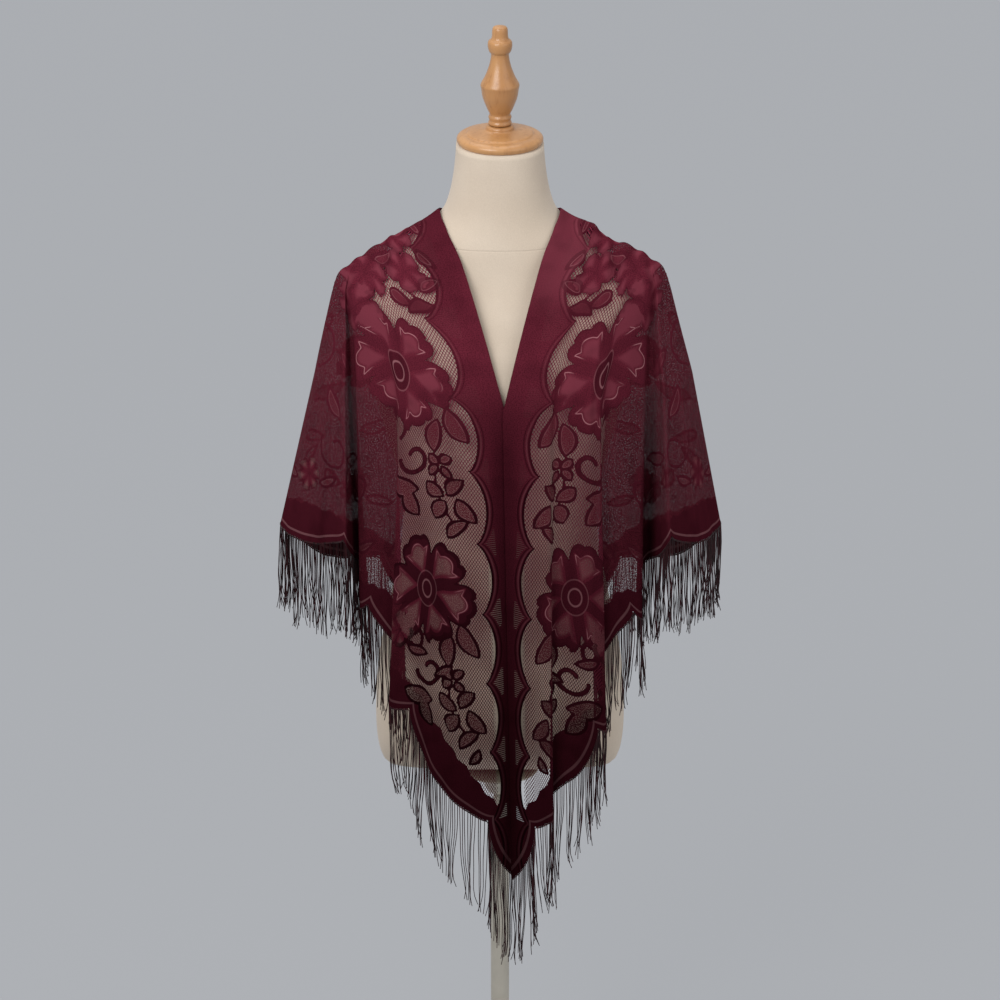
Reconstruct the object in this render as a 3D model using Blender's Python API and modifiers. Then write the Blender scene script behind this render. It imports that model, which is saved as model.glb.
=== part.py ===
"""Fringed triangular lace shawl, draped on a limbless dress form that stands on a pole.

Metres, +Z up. The form's axis is the Z axis, its front faces -Y, and the base stands on Z = 0.
"right" and "left" are the wearer's: right is -X, left is +X.

The shawl is one flat triangle. Its long edge goes round the back of the neck and down both
fronts, its two short edges carry the fringe and its point hangs at the centre of the back.
The cloth is worked out rib by rib. A rib is a line of cloth that starts on the top line (the
nape and the shoulder ridge), lies over the form down to the chest, and then hangs to the hem.
"""

import math

import bmesh
import bpy
import numpy as np

# ---------------------------------------------------------------- the flat shawl
HALF_EDGE = 0.975  # half of the long edge
POINT_DROP = 0.740  # from the long edge to the back point
LEG = math.hypot(HALF_EDGE, POINT_DROP)  # one fringed edge
NAPE_HALF = 0.105  # the part of the half edge that lies behind the neck
SHOULDER_U = 0.229  # where the tip of the shoulder lies in the flat triangle
SHOULDER_V = 0.135
SCALLOP_WIDTH = 0.1755
SCALLOP_FIRST = 0.0865  # from the front tip to the first notch between scallops
SCALLOP_DEPTH = 0.028
SCALLOP_ROUND = 0.75  # below 1 makes full lobes and sharp notches

WALL = 0.0015  # thickness of the cloth
GAP = 0.0003  # left between pieces that meet
RIDGE_SEAM = 0.0011  # from the ridge's plane to each stretch's top edge, walls leaning in

# ---------------------------------------------------------------- the drape
NECK_SIDE = (0.0680, 0.000, 1.2290)  # where the long edge passes the side of the neck
SHOULDER = (0.1900, 0.000, 1.1450)  # tip of the shoulder ridge
NAPE = (0.0, 0.0740, 1.2000)
RIDGE_GATHER = 0.0022  # height of the little gathers along the ridge
RIDGE_GATHERS = 6.5  # how many gathers there are on one shoulder
CHEST_Z = 1.025  # the cloth lies on the form above this and hangs free below it
OVER_SHOULDER = 0.60  # to the front or back, 1 leaves the ridge round, 0 as a straight slope
OVER_SIDE = 0.20  # the same towards the arm
EDGE_SHOULDER = 0.90  # both again for the long edge, which cuts straight across the chest
EDGE_SIDE = 0.30
EDGE_SPREAD = 0.10  # length of hem over which those change to the first two
FOLD_ROUND = 0.012  # half the length of hem over which a fold is rounded
ROUND_SAMPLES = 9  # points that are averaged to round it
CUT_SAMPLES = 300  # points at which a rib is held against the scallops
LEAST_COSINE = 0.3  # of the angle between a rib and the way straight across the hem
OUTER_RUN = 0.770  # the rib at the arm, where the front stretch meets the back one

# One row for each fold: how far its foot lies along the fringed edge from the front tip,
# its start on the top line (1 shoulder tip, 0 side of the neck, -1 nape), where it
# passes the chest line, where it meets the hem, and the length let down (+) or held up (-).
FOLD_COLUMNS = ("name", "run", "start", "chest_x", "chest_y", "hem_x", "hem_y", "let_down")
RIGHT_FRONT_FOLDS = (
    ("front edge", 0.000, 0.00, -0.006, -0.1262, -0.018, -0.1080, 0.020),
    ("edge turn", 0.035, 0.05, 0.011, -0.1320, 0.004, -0.1370, 0.014),
    ("front panel", 0.105, 0.22, 0.048, -0.1325, 0.046, -0.1365, 0.010),
    ("panel swell", 0.160, 0.36, 0.074, -0.1300, 0.078, -0.1330, 0.006),
    ("panel crease", 0.200, 0.45, 0.089, -0.1255, 0.092, -0.1260, 0.006),
    ("panel side", 0.290, 0.60, 0.116, -0.1170, 0.136, -0.1220, 0.024),
    ("under panel", 0.335, 0.67, 0.120, -0.1040, 0.110, -0.0950, -0.008),
    ("side swell", 0.385, 0.75, 0.145, -0.0870, 0.138, -0.0860, -0.012),
    ("side edge", 0.440, 0.82, 0.168, -0.0630, 0.170, -0.0640, 0.014),
    ("under arm", 0.500, 0.85, 0.169, -0.0460, 0.158, -0.0180, -0.010),
    ("arm inside", 0.530, 0.87, 0.175, -0.0440, 0.170, -0.0150, -0.018),
    ("arm front", 0.600, 0.90, 0.182, -0.0620, 0.181, -0.0890, -0.013),
    ("arm hollow", 0.645, 0.93, 0.196, -0.0430, 0.205, -0.0520, -0.013),
    ("arm swell", 0.705, 0.965, 0.210, -0.0300, 0.236, -0.0500, -0.021),
)
LEFT_FRONT_FOLDS = (
    ("front edge", 0.000, 0.00, 0.003, -0.1305, 0.014, -0.1150, 0.020),
    ("edge turn", 0.035, 0.05, 0.018, -0.1320, 0.034, -0.1370, 0.018),
    ("inner pleat", 0.106, 0.23, 0.057, -0.1325, 0.067, -0.1370, 0.026),
    ("under pleat", 0.138, 0.29, 0.063, -0.1255, 0.057, -0.1185, 0.018),
    ("panel strip", 0.166, 0.35, 0.074, -0.1275, 0.076, -0.1230, 0.018),
    ("panel swell", 0.205, 0.46, 0.095, -0.1245, 0.103, -0.1260, 0.030),
    ("panel side", 0.258, 0.57, 0.116, -0.1150, 0.130, -0.1130, 0.052),
    ("under panel", 0.325, 0.66, 0.121, -0.1030, 0.109, -0.0940, -0.006),
    ("side swell", 0.385, 0.75, 0.146, -0.0880, 0.139, -0.0860, -0.008),
    ("side edge", 0.440, 0.82, 0.169, -0.0660, 0.172, -0.0660, 0.030),
    ("under arm", 0.500, 0.85, 0.172, -0.0490, 0.163, -0.0200, -0.006),
    ("arm inside", 0.530, 0.87, 0.180, -0.0460, 0.177, -0.0160, -0.018),
    ("arm front", 0.600, 0.90, 0.192, -0.0610, 0.199, -0.0910, -0.019),
    ("arm hollow", 0.645, 0.93, 0.206, -0.0430, 0.221, -0.0560, -0.013),
    ("arm swell", 0.705, 0.965, 0.219, -0.0280, 0.246, -0.0450, -0.019),
)
RIGHT_BACK_FOLDS = (
    ("arm side", 0.770, 1.00, 0.2205, 0.0000, 0.266, 0.0000, -0.018),
    ("arm back", 0.830, 0.97, 0.212, 0.0450, 0.252, 0.0480, -0.006),
    ("blade hollow", 0.890, 0.84, 0.187, 0.0740, 0.207, 0.0660, 0.000),
    ("blade swell", 0.950, 0.62, 0.155, 0.1010, 0.176, 0.1080, 0.000),
    ("back hollow", 1.010, 0.36, 0.116, 0.1150, 0.126, 0.1080, 0.000),
    ("back swell", 1.080, -0.05, 0.072, 0.1260, 0.082, 0.1420, -0.003),
    ("point hollow", 1.150, -0.50, 0.032, 0.1250, 0.037, 0.1290, -0.024),
)
LEFT_BACK_FOLDS = (
    ("arm side", 0.770, 1.00, 0.2290, 0.0000, 0.267, 0.0000, -0.018),
    ("arm back", 0.825, 0.97, 0.217, 0.0420, 0.254, 0.0420, -0.006),
    ("blade hollow", 0.880, 0.86, 0.191, 0.0710, 0.214, 0.0620, 0.000),
    ("blade swell", 0.950, 0.62, 0.156, 0.1000, 0.174, 0.1100, 0.000),
    ("back hollow", 1.020, 0.33, 0.112, 0.1160, 0.118, 0.1100, 0.000),
    ("back swell", 1.085, -0.08, 0.068, 0.1260, 0.074, 0.1400, -0.004),
    ("point hollow", 1.155, -0.52, 0.031, 0.1250, 0.033, 0.1300, -0.025),
)
BACK_POINT = ("back point", LEG, -1.00, 0.000, 0.1270, 0.000, 0.1420, -0.035)

# ---------------------------------------------------------------- the dress form
# One row for each level of the torso: half width, depth to the front and to the back.
TORSO_COLUMNS = ("z", "half_width", "front", "back")
TORSO_LEVELS = (
    (0.506, 0.126, 0.014, 0.016),
    (0.510, 0.136, 0.023, 0.026),
    (0.518, 0.143, 0.038, 0.043),
    (0.532, 0.148, 0.059, 0.066),
    (0.552, 0.151, 0.082, 0.091),
    (0.580, 0.152, 0.099, 0.109),
    (0.612, 0.151, 0.107, 0.117),
    (0.660, 0.147, 0.106, 0.115),
    (0.730, 0.133, 0.099, 0.099),
    (0.800, 0.119, 0.091, 0.083),
    (0.850, 0.115, 0.089, 0.077),
    (0.900, 0.121, 0.094, 0.080),
    (0.960, 0.137, 0.108, 0.091),
    (1.010, 0.151, 0.120, 0.101),
    (1.040, 0.158, 0.121, 0.106),
    (1.080, 0.166, 0.111, 0.109),
    (1.115, 0.174, 0.096, 0.106),
    (1.135, 0.173, 0.086, 0.100),
    (1.147, 0.160, 0.079, 0.094),
    (1.162, 0.140, 0.073, 0.086),
    (1.180, 0.118, 0.068, 0.078),
    (1.200, 0.093, 0.064, 0.070),
    (1.220, 0.069, 0.058, 0.063),
    (1.240, 0.0605, 0.054, 0.057),
    (1.265, 0.0550, 0.0515, 0.052),
    (1.290, 0.0520, 0.0505, 0.0505),
    (1.309, 0.0508, 0.0500, 0.0500),
)
TORSO_SQUARE = 2.25  # exponent of the rings, 2 is an ellipse
TORSO_SIDES = 36
CLOTH_CLEAR = 0.0040  # middle of the cloth to the form
CLEAR_SHARPNESS = 26  # how suddenly the cloth changes from lying to hanging
LEAST_MEASURE = 0.05  # keeps points on the axis from being thrown out

# Turned pieces: radius and height of each point of the profile, top to bottom.
FINIAL_PROFILE = (
    (0.0000, 1.4500),
    (0.0070, 1.4492),
    (0.0090, 1.4465),
    (0.0094, 1.4345),
    (0.0138, 1.4320),
    (0.0144, 1.4260),
    (0.0128, 1.4195),
    (0.0098, 1.4165),
    (0.0122, 1.4030),
    (0.0175, 1.3890),
    (0.0229, 1.3800),
    (0.0219, 1.3760),
    (0.0205, 1.3650),
    (0.0150, 1.3510),
    (0.0115, 1.3445),
    (0.0138, 1.3415),
    (0.0122, 1.3375),
    (0.0138, 1.3345),
    (0.0130, 1.3318),
    (0.0000, 1.3318),
)
CAP_PROFILE = (
    (0.0000, 1.3315),
    (0.0150, 1.3315),
    (0.0168, 1.3290),
    (0.0165, 1.3255),
    (0.0380, 1.3228),
    (0.0390, 1.3208),
    (0.0450, 1.3203),
    (0.0495, 1.3175),
    (0.0506, 1.3140),
    (0.0492, 1.3105),
    (0.0470, 1.3093),
    (0.0000, 1.3093),
)
FLANGE_PROFILE = (
    (0.0000, 0.5057),
    (0.0480, 0.5057),
    (0.0480, 0.5017),
    (0.0220, 0.4950),
    (0.0170, 0.4700),
    (0.0000, 0.4700),
)
BASE_RADIUS = 0.150
BASE_PROFILE = (
    (0.0000, 0.0460),
    (0.0180, 0.0460),
    (0.0210, 0.0430),
    (0.0210, 0.0200),
    (0.0320, 0.0130),
    (0.1400, 0.0080),
    (0.1480, 0.0060),
    (BASE_RADIUS, 0.0035),
    (BASE_RADIUS, 0.0000),
    (0.0000, 0.0000),
)
POLE_RADIUS = 0.0115
POLE_FOOT = 0.0463
POLE_HEAD = 0.4697
TURNED_SIDES = 24
BASE_SIDES = 40

# ---------------------------------------------------------------- mesh density and fringe
COLUMN_STEP = 0.0260  # most cloth between two columns at the hem
CHEST_ROWS = 9  # rows from the top line to the chest
TURN_SPREAD = 0.75  # below 1 keeps the first rows under the top line well apart
SKIRT_ROWS = 5  # rows from the chest to the hem
FRINGE_LENGTH = 0.108
FRINGE_UNEVEN = 0.010  # how much the strands differ in length
STRIP_DROP = 0.0009  # from the hem to the strip, whose walls turn at different angles
STRIP_HEIGHT = 0.0030
STRIP_THICK = 0.0015
STRAND_WIDTH = 0.0020
STRANDS_APART = 0.0038  # least distance in plan from a strand to the others and other folds
STRAND_TO_HEM = 0.0022  # the same to the hem beside its own root
STRAND_FOOT = 0.55  # width of a strand's foot as a share of its root
ROOT_SHARE = 0.4  # widest that a root may be, as a share of a column
UNEVEN_TURN = 2.4  # radians from one strand to the next in the wave of their lengths
STRANDS_PER_COLUMN = 2

MATERIALS = {
    "lace": ((0.075, 0.013, 0.018), 0.75, 0.0),
    "fringe": ((0.055, 0.008, 0.014), 0.55, 0.0),
    "form_cloth": ((0.62, 0.51, 0.41), 0.85, 0.0),
    "light_wood": ((0.56, 0.30, 0.12), 0.35, 0.0),
    "cream_metal": ((0.45, 0.42, 0.34), 0.35, 0.6),
}


def material(name):
    """Principled material of one finish, made once."""
    if name in bpy.data.materials:
        return bpy.data.materials[name]
    colour, roughness, metallic = MATERIALS[name]
    finish = bpy.data.materials.new(name)
    finish.use_nodes = True
    shader = finish.node_tree.nodes["Principled BSDF"]
    shader.inputs["Base Color"].default_value = (*colour, 1.0)
    shader.inputs["Roughness"].default_value = roughness
    shader.inputs["Metallic"].default_value = metallic
    return finish


def add_object(name, vertices, faces, finish, collection):
    """One named object from points and faces, shaded smooth but for its sharp edges."""
    mesh = bpy.data.meshes.new(name)
    mesh.from_pydata([tuple(map(float, v)) for v in vertices], [], faces)
    mesh.materials.append(material(finish))
    mesh.shade_smooth()
    mesh.set_sharp_from_angle(angle=math.radians(50))
    piece = bpy.data.objects.new(name, mesh)
    collection.objects.link(piece)
    return piece


def table_column(rows, columns, name):
    """One named column of a table as an array."""
    at = columns.index(name)
    return np.array([row[at] for row in rows], float)


def rounded_through(knots, values, at):
    """Straight runs between the knots with each corner rounded off.

    It is the mean of the straight runs over FOLD_ROUND to each side. Beyond its ends each run
    goes on straight, so the two ends stay where they are.
    """
    knots = np.array([2 * knots[0] - knots[1], *knots, 2 * knots[-1] - knots[-2]])
    values = np.array([2 * values[0] - values[1], *values, 2 * values[-1] - values[-2]])
    offsets = np.linspace(-FOLD_ROUND, FOLD_ROUND, ROUND_SAMPLES)
    return np.mean([np.interp(at + offset, knots, values) for offset in offsets], axis=0)


# ---------------------------------------------------------------- dress form


def torso_size(z):
    """Half width, front depth and back depth of the torso at the heights z."""
    levels = table_column(TORSO_LEVELS, TORSO_COLUMNS, "z")
    return [
        np.interp(z, levels, table_column(TORSO_LEVELS, TORSO_COLUMNS, name))
        for name in TORSO_COLUMNS[1:]
    ]


def clear_of_form(points):
    """Points moved out level, from the form's axis, until the cloth lies on the form.

    The ring measure is 1 on the form's ring at that height. A point's distance from the axis
    is multiplied by (1 + measure ** -n) ** (1 / n), which is 1 far outside and 1 / measure
    inside.
    """
    x, y, z = points[..., 0], points[..., 1], points[..., 2]
    half_width, front, back = torso_size(z)
    depth = np.where(y < 0, front, back)
    reach = (np.abs(x) / (half_width + CLOTH_CLEAR)) ** TORSO_SQUARE
    reach = reach + (np.abs(y) / (depth + CLOTH_CLEAR)) ** TORSO_SQUARE
    measure = np.maximum(reach ** (1 / TORSO_SQUARE), LEAST_MEASURE)
    factor = (1 + measure**-CLEAR_SHARPNESS) ** (1 / CLEAR_SHARPNESS)
    return np.stack([x * factor, y * factor, z], axis=-1)


def build_torso(collection):
    """Loft through the rings of the torso table, closed at both ends."""
    turns = np.arange(TORSO_SIDES) / TORSO_SIDES * 2 * math.pi
    cosine, sine = np.cos(turns), np.sin(turns)
    power = 2 / TORSO_SQUARE
    vertices = []
    for z, half_width, front, back in TORSO_LEVELS:
        depth = np.where(sine < 0, front, back)
        x = half_width * np.sign(cosine) * np.abs(cosine) ** power
        y = depth * np.sign(sine) * np.abs(sine) ** power
        vertices += list(zip(x, y, np.full(TORSO_SIDES, z)))
    faces = []
    for level in range(len(TORSO_LEVELS) - 1):
        low, high = level * TORSO_SIDES, (level + 1) * TORSO_SIDES
        for side in range(TORSO_SIDES):
            after = (side + 1) % TORSO_SIDES
            faces.append((low + side, low + after, high + after, high + side))
    faces.append(tuple(range(TORSO_SIDES - 1, -1, -1)))
    top = (len(TORSO_LEVELS) - 1) * TORSO_SIDES
    faces.append(tuple(range(top, top + TORSO_SIDES)))
    return add_object("torso", vertices, faces, "form_cloth", collection)


def build_turned(name, profile, sides, finish, collection):
    """Profile of radius and height, top to bottom, turned round the Z axis."""
    vertices = [(radius, 0.0, z) for radius, z in profile]
    edges = [(i, i + 1) for i in range(len(profile) - 1)]
    mesh = bpy.data.meshes.new(name)
    mesh.from_pydata(vertices, edges, [])
    mesh.materials.append(material(finish))
    piece = bpy.data.objects.new(name, mesh)
    collection.objects.link(piece)
    screw = piece.modifiers.new("turned", "SCREW")
    screw.axis = "Z"
    screw.steps = sides
    screw.render_steps = sides
    screw.use_merge_vertices = True
    screw.merge_threshold = 0.0001
    screw.use_smooth_shade = True
    return piece


def build_pole(collection):
    """Straight tube of the stand, from the base's socket to the flange."""
    bpy.ops.mesh.primitive_cylinder_add(
        vertices=TURNED_SIDES,
        radius=POLE_RADIUS,
        depth=POLE_HEAD - POLE_FOOT,
        location=(0, 0, (POLE_HEAD + POLE_FOOT) / 2),
    )
    pole = bpy.context.object
    pole.name = "pole"
    pole.data.name = "pole"
    pole.data.materials.append(material("cream_metal"))
    pole.data.shade_smooth()
    pole.data.set_sharp_from_angle(angle=math.radians(50))
    for holder in list(pole.users_collection):
        holder.objects.unlink(pole)
    collection.objects.link(pole)
    return pole


# ---------------------------------------------------------------- cloth


def top_line(start):
    """Points of the top line and the same points in the flat triangle.

    From 1 to 0 it is the shoulder ridge, straight from the shoulder tip to the side of the
    neck with small gathers. From 0 to -1 it is a quarter ellipse round the nape.
    """
    ridge = np.clip(start, 0, 1)
    nape = np.clip(-start, 0, 1) * math.pi / 2
    gather = RIDGE_GATHER * np.sin(ridge * RIDGE_GATHERS * 2 * math.pi)
    x = NECK_SIDE[0] + (SHOULDER[0] - NECK_SIDE[0]) * ridge
    y = NECK_SIDE[1] + (SHOULDER[1] - NECK_SIDE[1]) * ridge
    z = NECK_SIDE[2] + (SHOULDER[2] - NECK_SIDE[2]) * ridge + gather
    x = np.where(start < 0, NECK_SIDE[0] * np.cos(nape), x)
    y = np.where(start < 0, NECK_SIDE[1] + (NAPE[1] - NECK_SIDE[1]) * np.sin(nape), y)
    z = np.where(start < 0, NECK_SIDE[2] + (NAPE[2] - NECK_SIDE[2]) * np.sin(nape), z)
    u = np.where(start < 0, NAPE_HALF * (1 + np.minimum(start, 0)), 0)
    u = np.where(start < 0, u, NAPE_HALF + (SHOULDER_U - NAPE_HALF) * ridge)
    v = SHOULDER_V * ridge
    return np.stack([x, y, z], axis=-1), np.stack([u, v], axis=-1)


def scallop_rise(run):
    """How far the hem lies inside the straight fringed edge: nothing at the middle of a lobe,
    SCALLOP_DEPTH at a notch."""
    wave = np.abs(np.sin((run - SCALLOP_FIRST) / SCALLOP_WIDTH * math.pi))
    return SCALLOP_DEPTH * (1 - wave**SCALLOP_ROUND)


def hem_cut(runs, ways):
    """Length that the scallops cut off ribs with these ways, as unit vectors.

    Up from its foot, a rib gets away from the straight edge by its cosine, and goes past the
    scallops by its sine. The cut ends at the last point where the scallop there rises over the
    rib.
    """
    normal = np.array([POINT_DROP, HALF_EDGE]) / LEG
    along = np.array([-HALF_EDGE, POINT_DROP]) / LEG
    back = np.linspace(0, SCALLOP_DEPTH / LEAST_COSINE, CUT_SAMPLES)
    away = back * np.maximum(ways @ normal, LEAST_COSINE)[:, None]
    beside = runs[:, None] - back * (ways @ along)[:, None]
    return np.where(away < scallop_rise(beside), back, 0).max(axis=1)


def rib_grid(folds, runs):
    """Cloth points of one side, an array of (run, row, xyz).

    Each rib keeps the length that it has in the flat triangle, less what the scallops cut off:
    what the arc over the form doesn't use hangs below the chest line.
    """
    knots = table_column(folds, FOLD_COLUMNS, "run")
    start, chest_x, chest_y, hem_x, hem_y, let_down = (
        rounded_through(knots, table_column(folds, FOLD_COLUMNS, name), runs)
        for name in FOLD_COLUMNS[2:]
    )
    top, top_flat = top_line(start)
    foot_flat = np.stack([HALF_EDGE - HALF_EDGE / LEG * runs, POINT_DROP / LEG * runs], axis=-1)
    flat = foot_flat - top_flat
    flat_length = np.linalg.norm(flat, axis=-1)
    rib_length = flat_length - hem_cut(runs, flat / flat_length[:, None]) + let_down

    turn = np.linspace(0, 1, CHEST_ROWS + 1) ** TURN_SPREAD * math.pi / 2
    drop = 1 - np.cos(turn)
    edge = np.clip(1 - runs / EDGE_SPREAD, 0, 1)[:, None]
    over_shoulder = OVER_SHOULDER + (EDGE_SHOULDER - OVER_SHOULDER) * edge
    over_side = OVER_SIDE + (EDGE_SIDE - OVER_SIDE) * edge
    forward = over_shoulder * np.sin(turn) + (1 - over_shoulder) * drop
    sideways = over_side * np.sin(turn) + (1 - over_side) * drop
    chest = np.stack([chest_x, chest_y, np.full_like(chest_x, CHEST_Z)], axis=-1)
    upper = np.stack(
        [
            top[:, None, 0] + (chest - top)[:, None, 0] * sideways,
            top[:, None, 1] + (chest - top)[:, None, 1] * forward,
            top[:, None, 2] + (chest - top)[:, None, 2] * drop,
        ],
        axis=-1,
    )
    upper = clear_of_form(upper)
    upper_length = np.linalg.norm(np.diff(upper, axis=1), axis=-1).sum(axis=1)
    chest = upper[:, -1]
    hanging = rib_length - upper_length
    side_step = np.stack([hem_x - chest[:, 0], hem_y - chest[:, 1]], axis=-1)
    fall = np.sqrt(hanging**2 - (side_step**2).sum(axis=-1))
    hem = np.stack([hem_x, hem_y, CHEST_Z - fall], axis=-1)
    share = np.linspace(0, 1, SKIRT_ROWS + 1)[1:]
    lower = chest[:, None, :] + (hem - chest)[:, None, :] * share[None, :, None]
    lower = clear_of_form(lower)
    return np.concatenate([upper, lower], axis=1)


def columns_between(folds, first, last):
    """Runs of the columns: every fold's own run, with even steps between."""
    knots = [run for run in table_column(folds, FOLD_COLUMNS, "run") if first < run < last]
    knots = [first, *knots, last]
    runs = []
    for low, high in zip(knots, knots[1:]):
        steps = math.ceil((high - low) / COLUMN_STEP)
        runs += list(low + (high - low) * np.arange(steps) / steps)
    return np.array([*runs, last])


def part_at_ridge(grid, side):
    """The grid kept to its own side of the plane of the ridge, -1 in front and 1 behind."""
    seam = np.full(grid.shape[1], GAP)
    seam[0] = RIDGE_SEAM
    grid[..., 1] = side * np.maximum(side * grid[..., 1], seam)
    return grid


def mirrored(grid, sign):
    """Grid on the side of the sign of X."""
    return grid * np.array([sign, 1.0, 1.0])


def grid_faces(columns, rows, flip):
    """Quads of a grid whose points run row by row inside each column."""
    faces = []
    for column in range(columns - 1):
        for row in range(rows - 1):
            a = column * rows + row
            quad = (a, a + rows, a + rows + 1, a + 1)
            faces.append(quad[::-1] if flip else quad)
    return faces


def build_cloth(name, grid, flip, collection):
    """Open surface through the grid, given its thickness to both sides."""
    columns, rows = grid.shape[:2]
    faces = grid_faces(columns, rows, flip)
    piece = add_object(name, grid.reshape(-1, 3), faces, "lace", collection)
    solidify = piece.modifiers.new("cloth wall", "SOLIDIFY")
    solidify.thickness = WALL
    solidify.offset = 0
    return piece


# ---------------------------------------------------------------- fringe


def hem_frame(grid):
    """Hem points, the way out of the cloth across the hem, and the cloth's facing there."""
    hem = grid[:, -1]
    down = hem - grid[:, -2]
    along = np.gradient(hem, axis=0)
    facing = np.cross(along, down)
    facing /= np.linalg.norm(facing, axis=-1, keepdims=True)
    out = np.cross(facing, along)
    out /= np.linalg.norm(out, axis=-1, keepdims=True)
    return hem, out, facing


def strand_edges(length):
    """Shares of one column's length of hem where the strands' roots begin and end."""
    middles = (np.arange(STRANDS_PER_COLUMN) + 0.5) / STRANDS_PER_COLUMN
    half = min(STRAND_WIDTH / length, ROOT_SHARE) / 2
    return [(middle - half, middle + half) for middle in middles]


def hangs_clear(root, hung, hem, column):
    """Whether a strand from this root keeps clear, in plan, of those that hang already and of
    every stretch of hem that passes below it."""
    if any(math.dist(root[:2], other[:2]) < STRANDS_APART for other in hung):
        return False
    for i in range(len(hem) - 1):
        first, edge = hem[i], hem[i + 1] - hem[i]
        if i == column:
            near = hem[i] if hem[i][2] < hem[i + 1][2] else hem[i + 1]
        else:
            span = max(np.dot(edge[:2], edge[:2]), GAP**2)
            share = np.dot(root[:2] - first[:2], edge[:2]) / span
            near = first + edge * min(max(share, 0), 1)
        below = root[2] - FRINGE_LENGTH - 2 * FRINGE_UNEVEN < near[2] < root[2] + STRIP_HEIGHT
        least = STRAND_TO_HEM if abs(i - column) < 2 else STRANDS_APART
        if below and math.dist(root[:2], near[:2]) < least:
            return False
    return True


def build_fringe(name, grid, seed, collection):
    """Narrow strip under the hem with the strands drawn down out of its lower edge."""
    hem, out, facing = hem_frame(grid)
    top = hem + out * STRIP_DROP
    low = top + out * STRIP_HEIGHT
    half = facing * STRIP_THICK / 2
    mesh = bmesh.new()
    ring = []
    for t, b, h in zip(top, low, half):
        ring.append([mesh.verts.new(p) for p in (t - h, t + h, b + h, b - h)])
    mesh.faces.new(ring[0])
    mesh.faces.new(ring[-1][::-1])
    hung = []
    for i in range(len(ring) - 1):
        one, two = ring[i], ring[i + 1]
        mesh.faces.new((one[1], one[0], two[0], two[1]))
        front, back = [one[2]], [one[3]]
        for begin, end in strand_edges(np.linalg.norm(low[i + 1] - low[i])):
            root = low[i] + (low[i + 1] - low[i]) * (begin + end) / 2
            if not hangs_clear(root, hung, low, i):
                continue
            hung.append(root)
            corners = []
            for share in (begin, end):
                middle = low[i] + (low[i + 1] - low[i]) * share
                wall = half[i] + (half[i + 1] - half[i]) * share
                corners.append((mesh.verts.new(middle + wall), mesh.verts.new(middle - wall)))
            front += [corners[0][0], corners[1][0]]
            back += [corners[0][1], corners[1][1]]
            add_strand(mesh, corners, seed + len(hung))
        front.append(two[2])
        back.append(two[3])
        for k in range(0, len(front) - 1, 2):
            mesh.faces.new((front[k], front[k + 1], back[k + 1], back[k])[::-1])
        mesh.faces.new([one[1], *front][::-1])
        mesh.faces.new([one[1], two[2], two[1]][::-1])
        mesh.faces.new([one[0], *back])
        mesh.faces.new([one[0], two[3], two[0]])
    bmesh.ops.recalc_face_normals(mesh, faces=mesh.faces)
    data = bpy.data.meshes.new(name)
    mesh.to_mesh(data)
    mesh.free()
    data.materials.append(material("fringe"))
    piece = bpy.data.objects.new(name, data)
    collection.objects.link(piece)
    return len(hung)


def add_strand(mesh, roots, number):
    """Four-sided strand that narrows from its root in the strip to its foot.

    It hangs plumb. Its length differs from its neighbours' by the sine of its number.
    """
    (a, b), (d, c) = roots
    corners = (a, b, c, d)
    middle = sum((np.array(v.co) for v in corners), np.zeros(3)) / 4
    length = FRINGE_LENGTH + FRINGE_UNEVEN * math.sin(number * UNEVEN_TURN)
    feet = []
    for corner in corners:
        offset = (np.array(corner.co) - middle) * STRAND_FOOT
        offset[2] = 0.0
        feet.append(mesh.verts.new(middle + offset - np.array([0, 0, length])))
    for k in range(4):
        after = (k + 1) % 4
        mesh.faces.new((corners[k], corners[after], feet[after], feet[k]))
    mesh.faces.new(feet[::-1])


# ---------------------------------------------------------------- assembly


def build_shawl(collection):
    """Two front stretches and the back one, each with its own strip of fringe."""
    sides = (
        ("right", -1, RIGHT_FRONT_FOLDS + RIGHT_BACK_FOLDS + (BACK_POINT,)),
        ("left", 1, LEFT_FRONT_FOLDS + LEFT_BACK_FOLDS + (BACK_POINT,)),
    )
    strands = 0
    back_halves = []
    for side, sign, folds in sides:
        runs = columns_between(folds, 0.0, OUTER_RUN - GAP)
        grid = part_at_ridge(mirrored(rib_grid(folds, runs), sign), -1)
        build_cloth(f"shawl_{side}_front", grid, sign < 0, collection)
        strands += build_fringe(f"fringe_{side}_front", grid, strands, collection)
        runs = columns_between(folds, OUTER_RUN + GAP, LEG)
        back_halves.append(mirrored(rib_grid(folds, runs), sign))
    grid = np.concatenate([back_halves[0], back_halves[1][-2::-1]])
    grid = part_at_ridge(grid, 1)
    build_cloth("shawl_back", grid, True, collection)
    strands += build_fringe("fringe_back", grid, strands, collection)
    print("strands", strands)


def build_form(collection):
    """Torso, turned neck cap with its finial, flange, pole and base."""
    build_torso(collection)
    build_turned("finial", FINIAL_PROFILE, TURNED_SIDES, "light_wood", collection)
    build_turned("neck_cap", CAP_PROFILE, TURNED_SIDES, "light_wood", collection)
    build_turned("pole_flange", FLANGE_PROFILE, TURNED_SIDES, "cream_metal", collection)
    build_turned("base", BASE_PROFILE, BASE_SIDES, "cream_metal", collection)
    build_pole(collection)


def main():
    for leftover in list(bpy.data.objects):
        bpy.data.objects.remove(leftover, do_unlink=True)
    collection = bpy.data.collections.new("lace_shawl_on_form")
    bpy.context.scene.collection.children.link(collection)
    build_form(collection)
    build_shawl(collection)


main()
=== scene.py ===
# %% [markdown]
# # Lace shawl on a dress form
#
# A fringed triangle of burgundy lace hangs on a limbless dress form. The hard pieces of the
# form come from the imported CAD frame. This script dresses them: it knits the lace, hangs the
# fringe, covers the torso and gives every piece a finish.

import math

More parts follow.
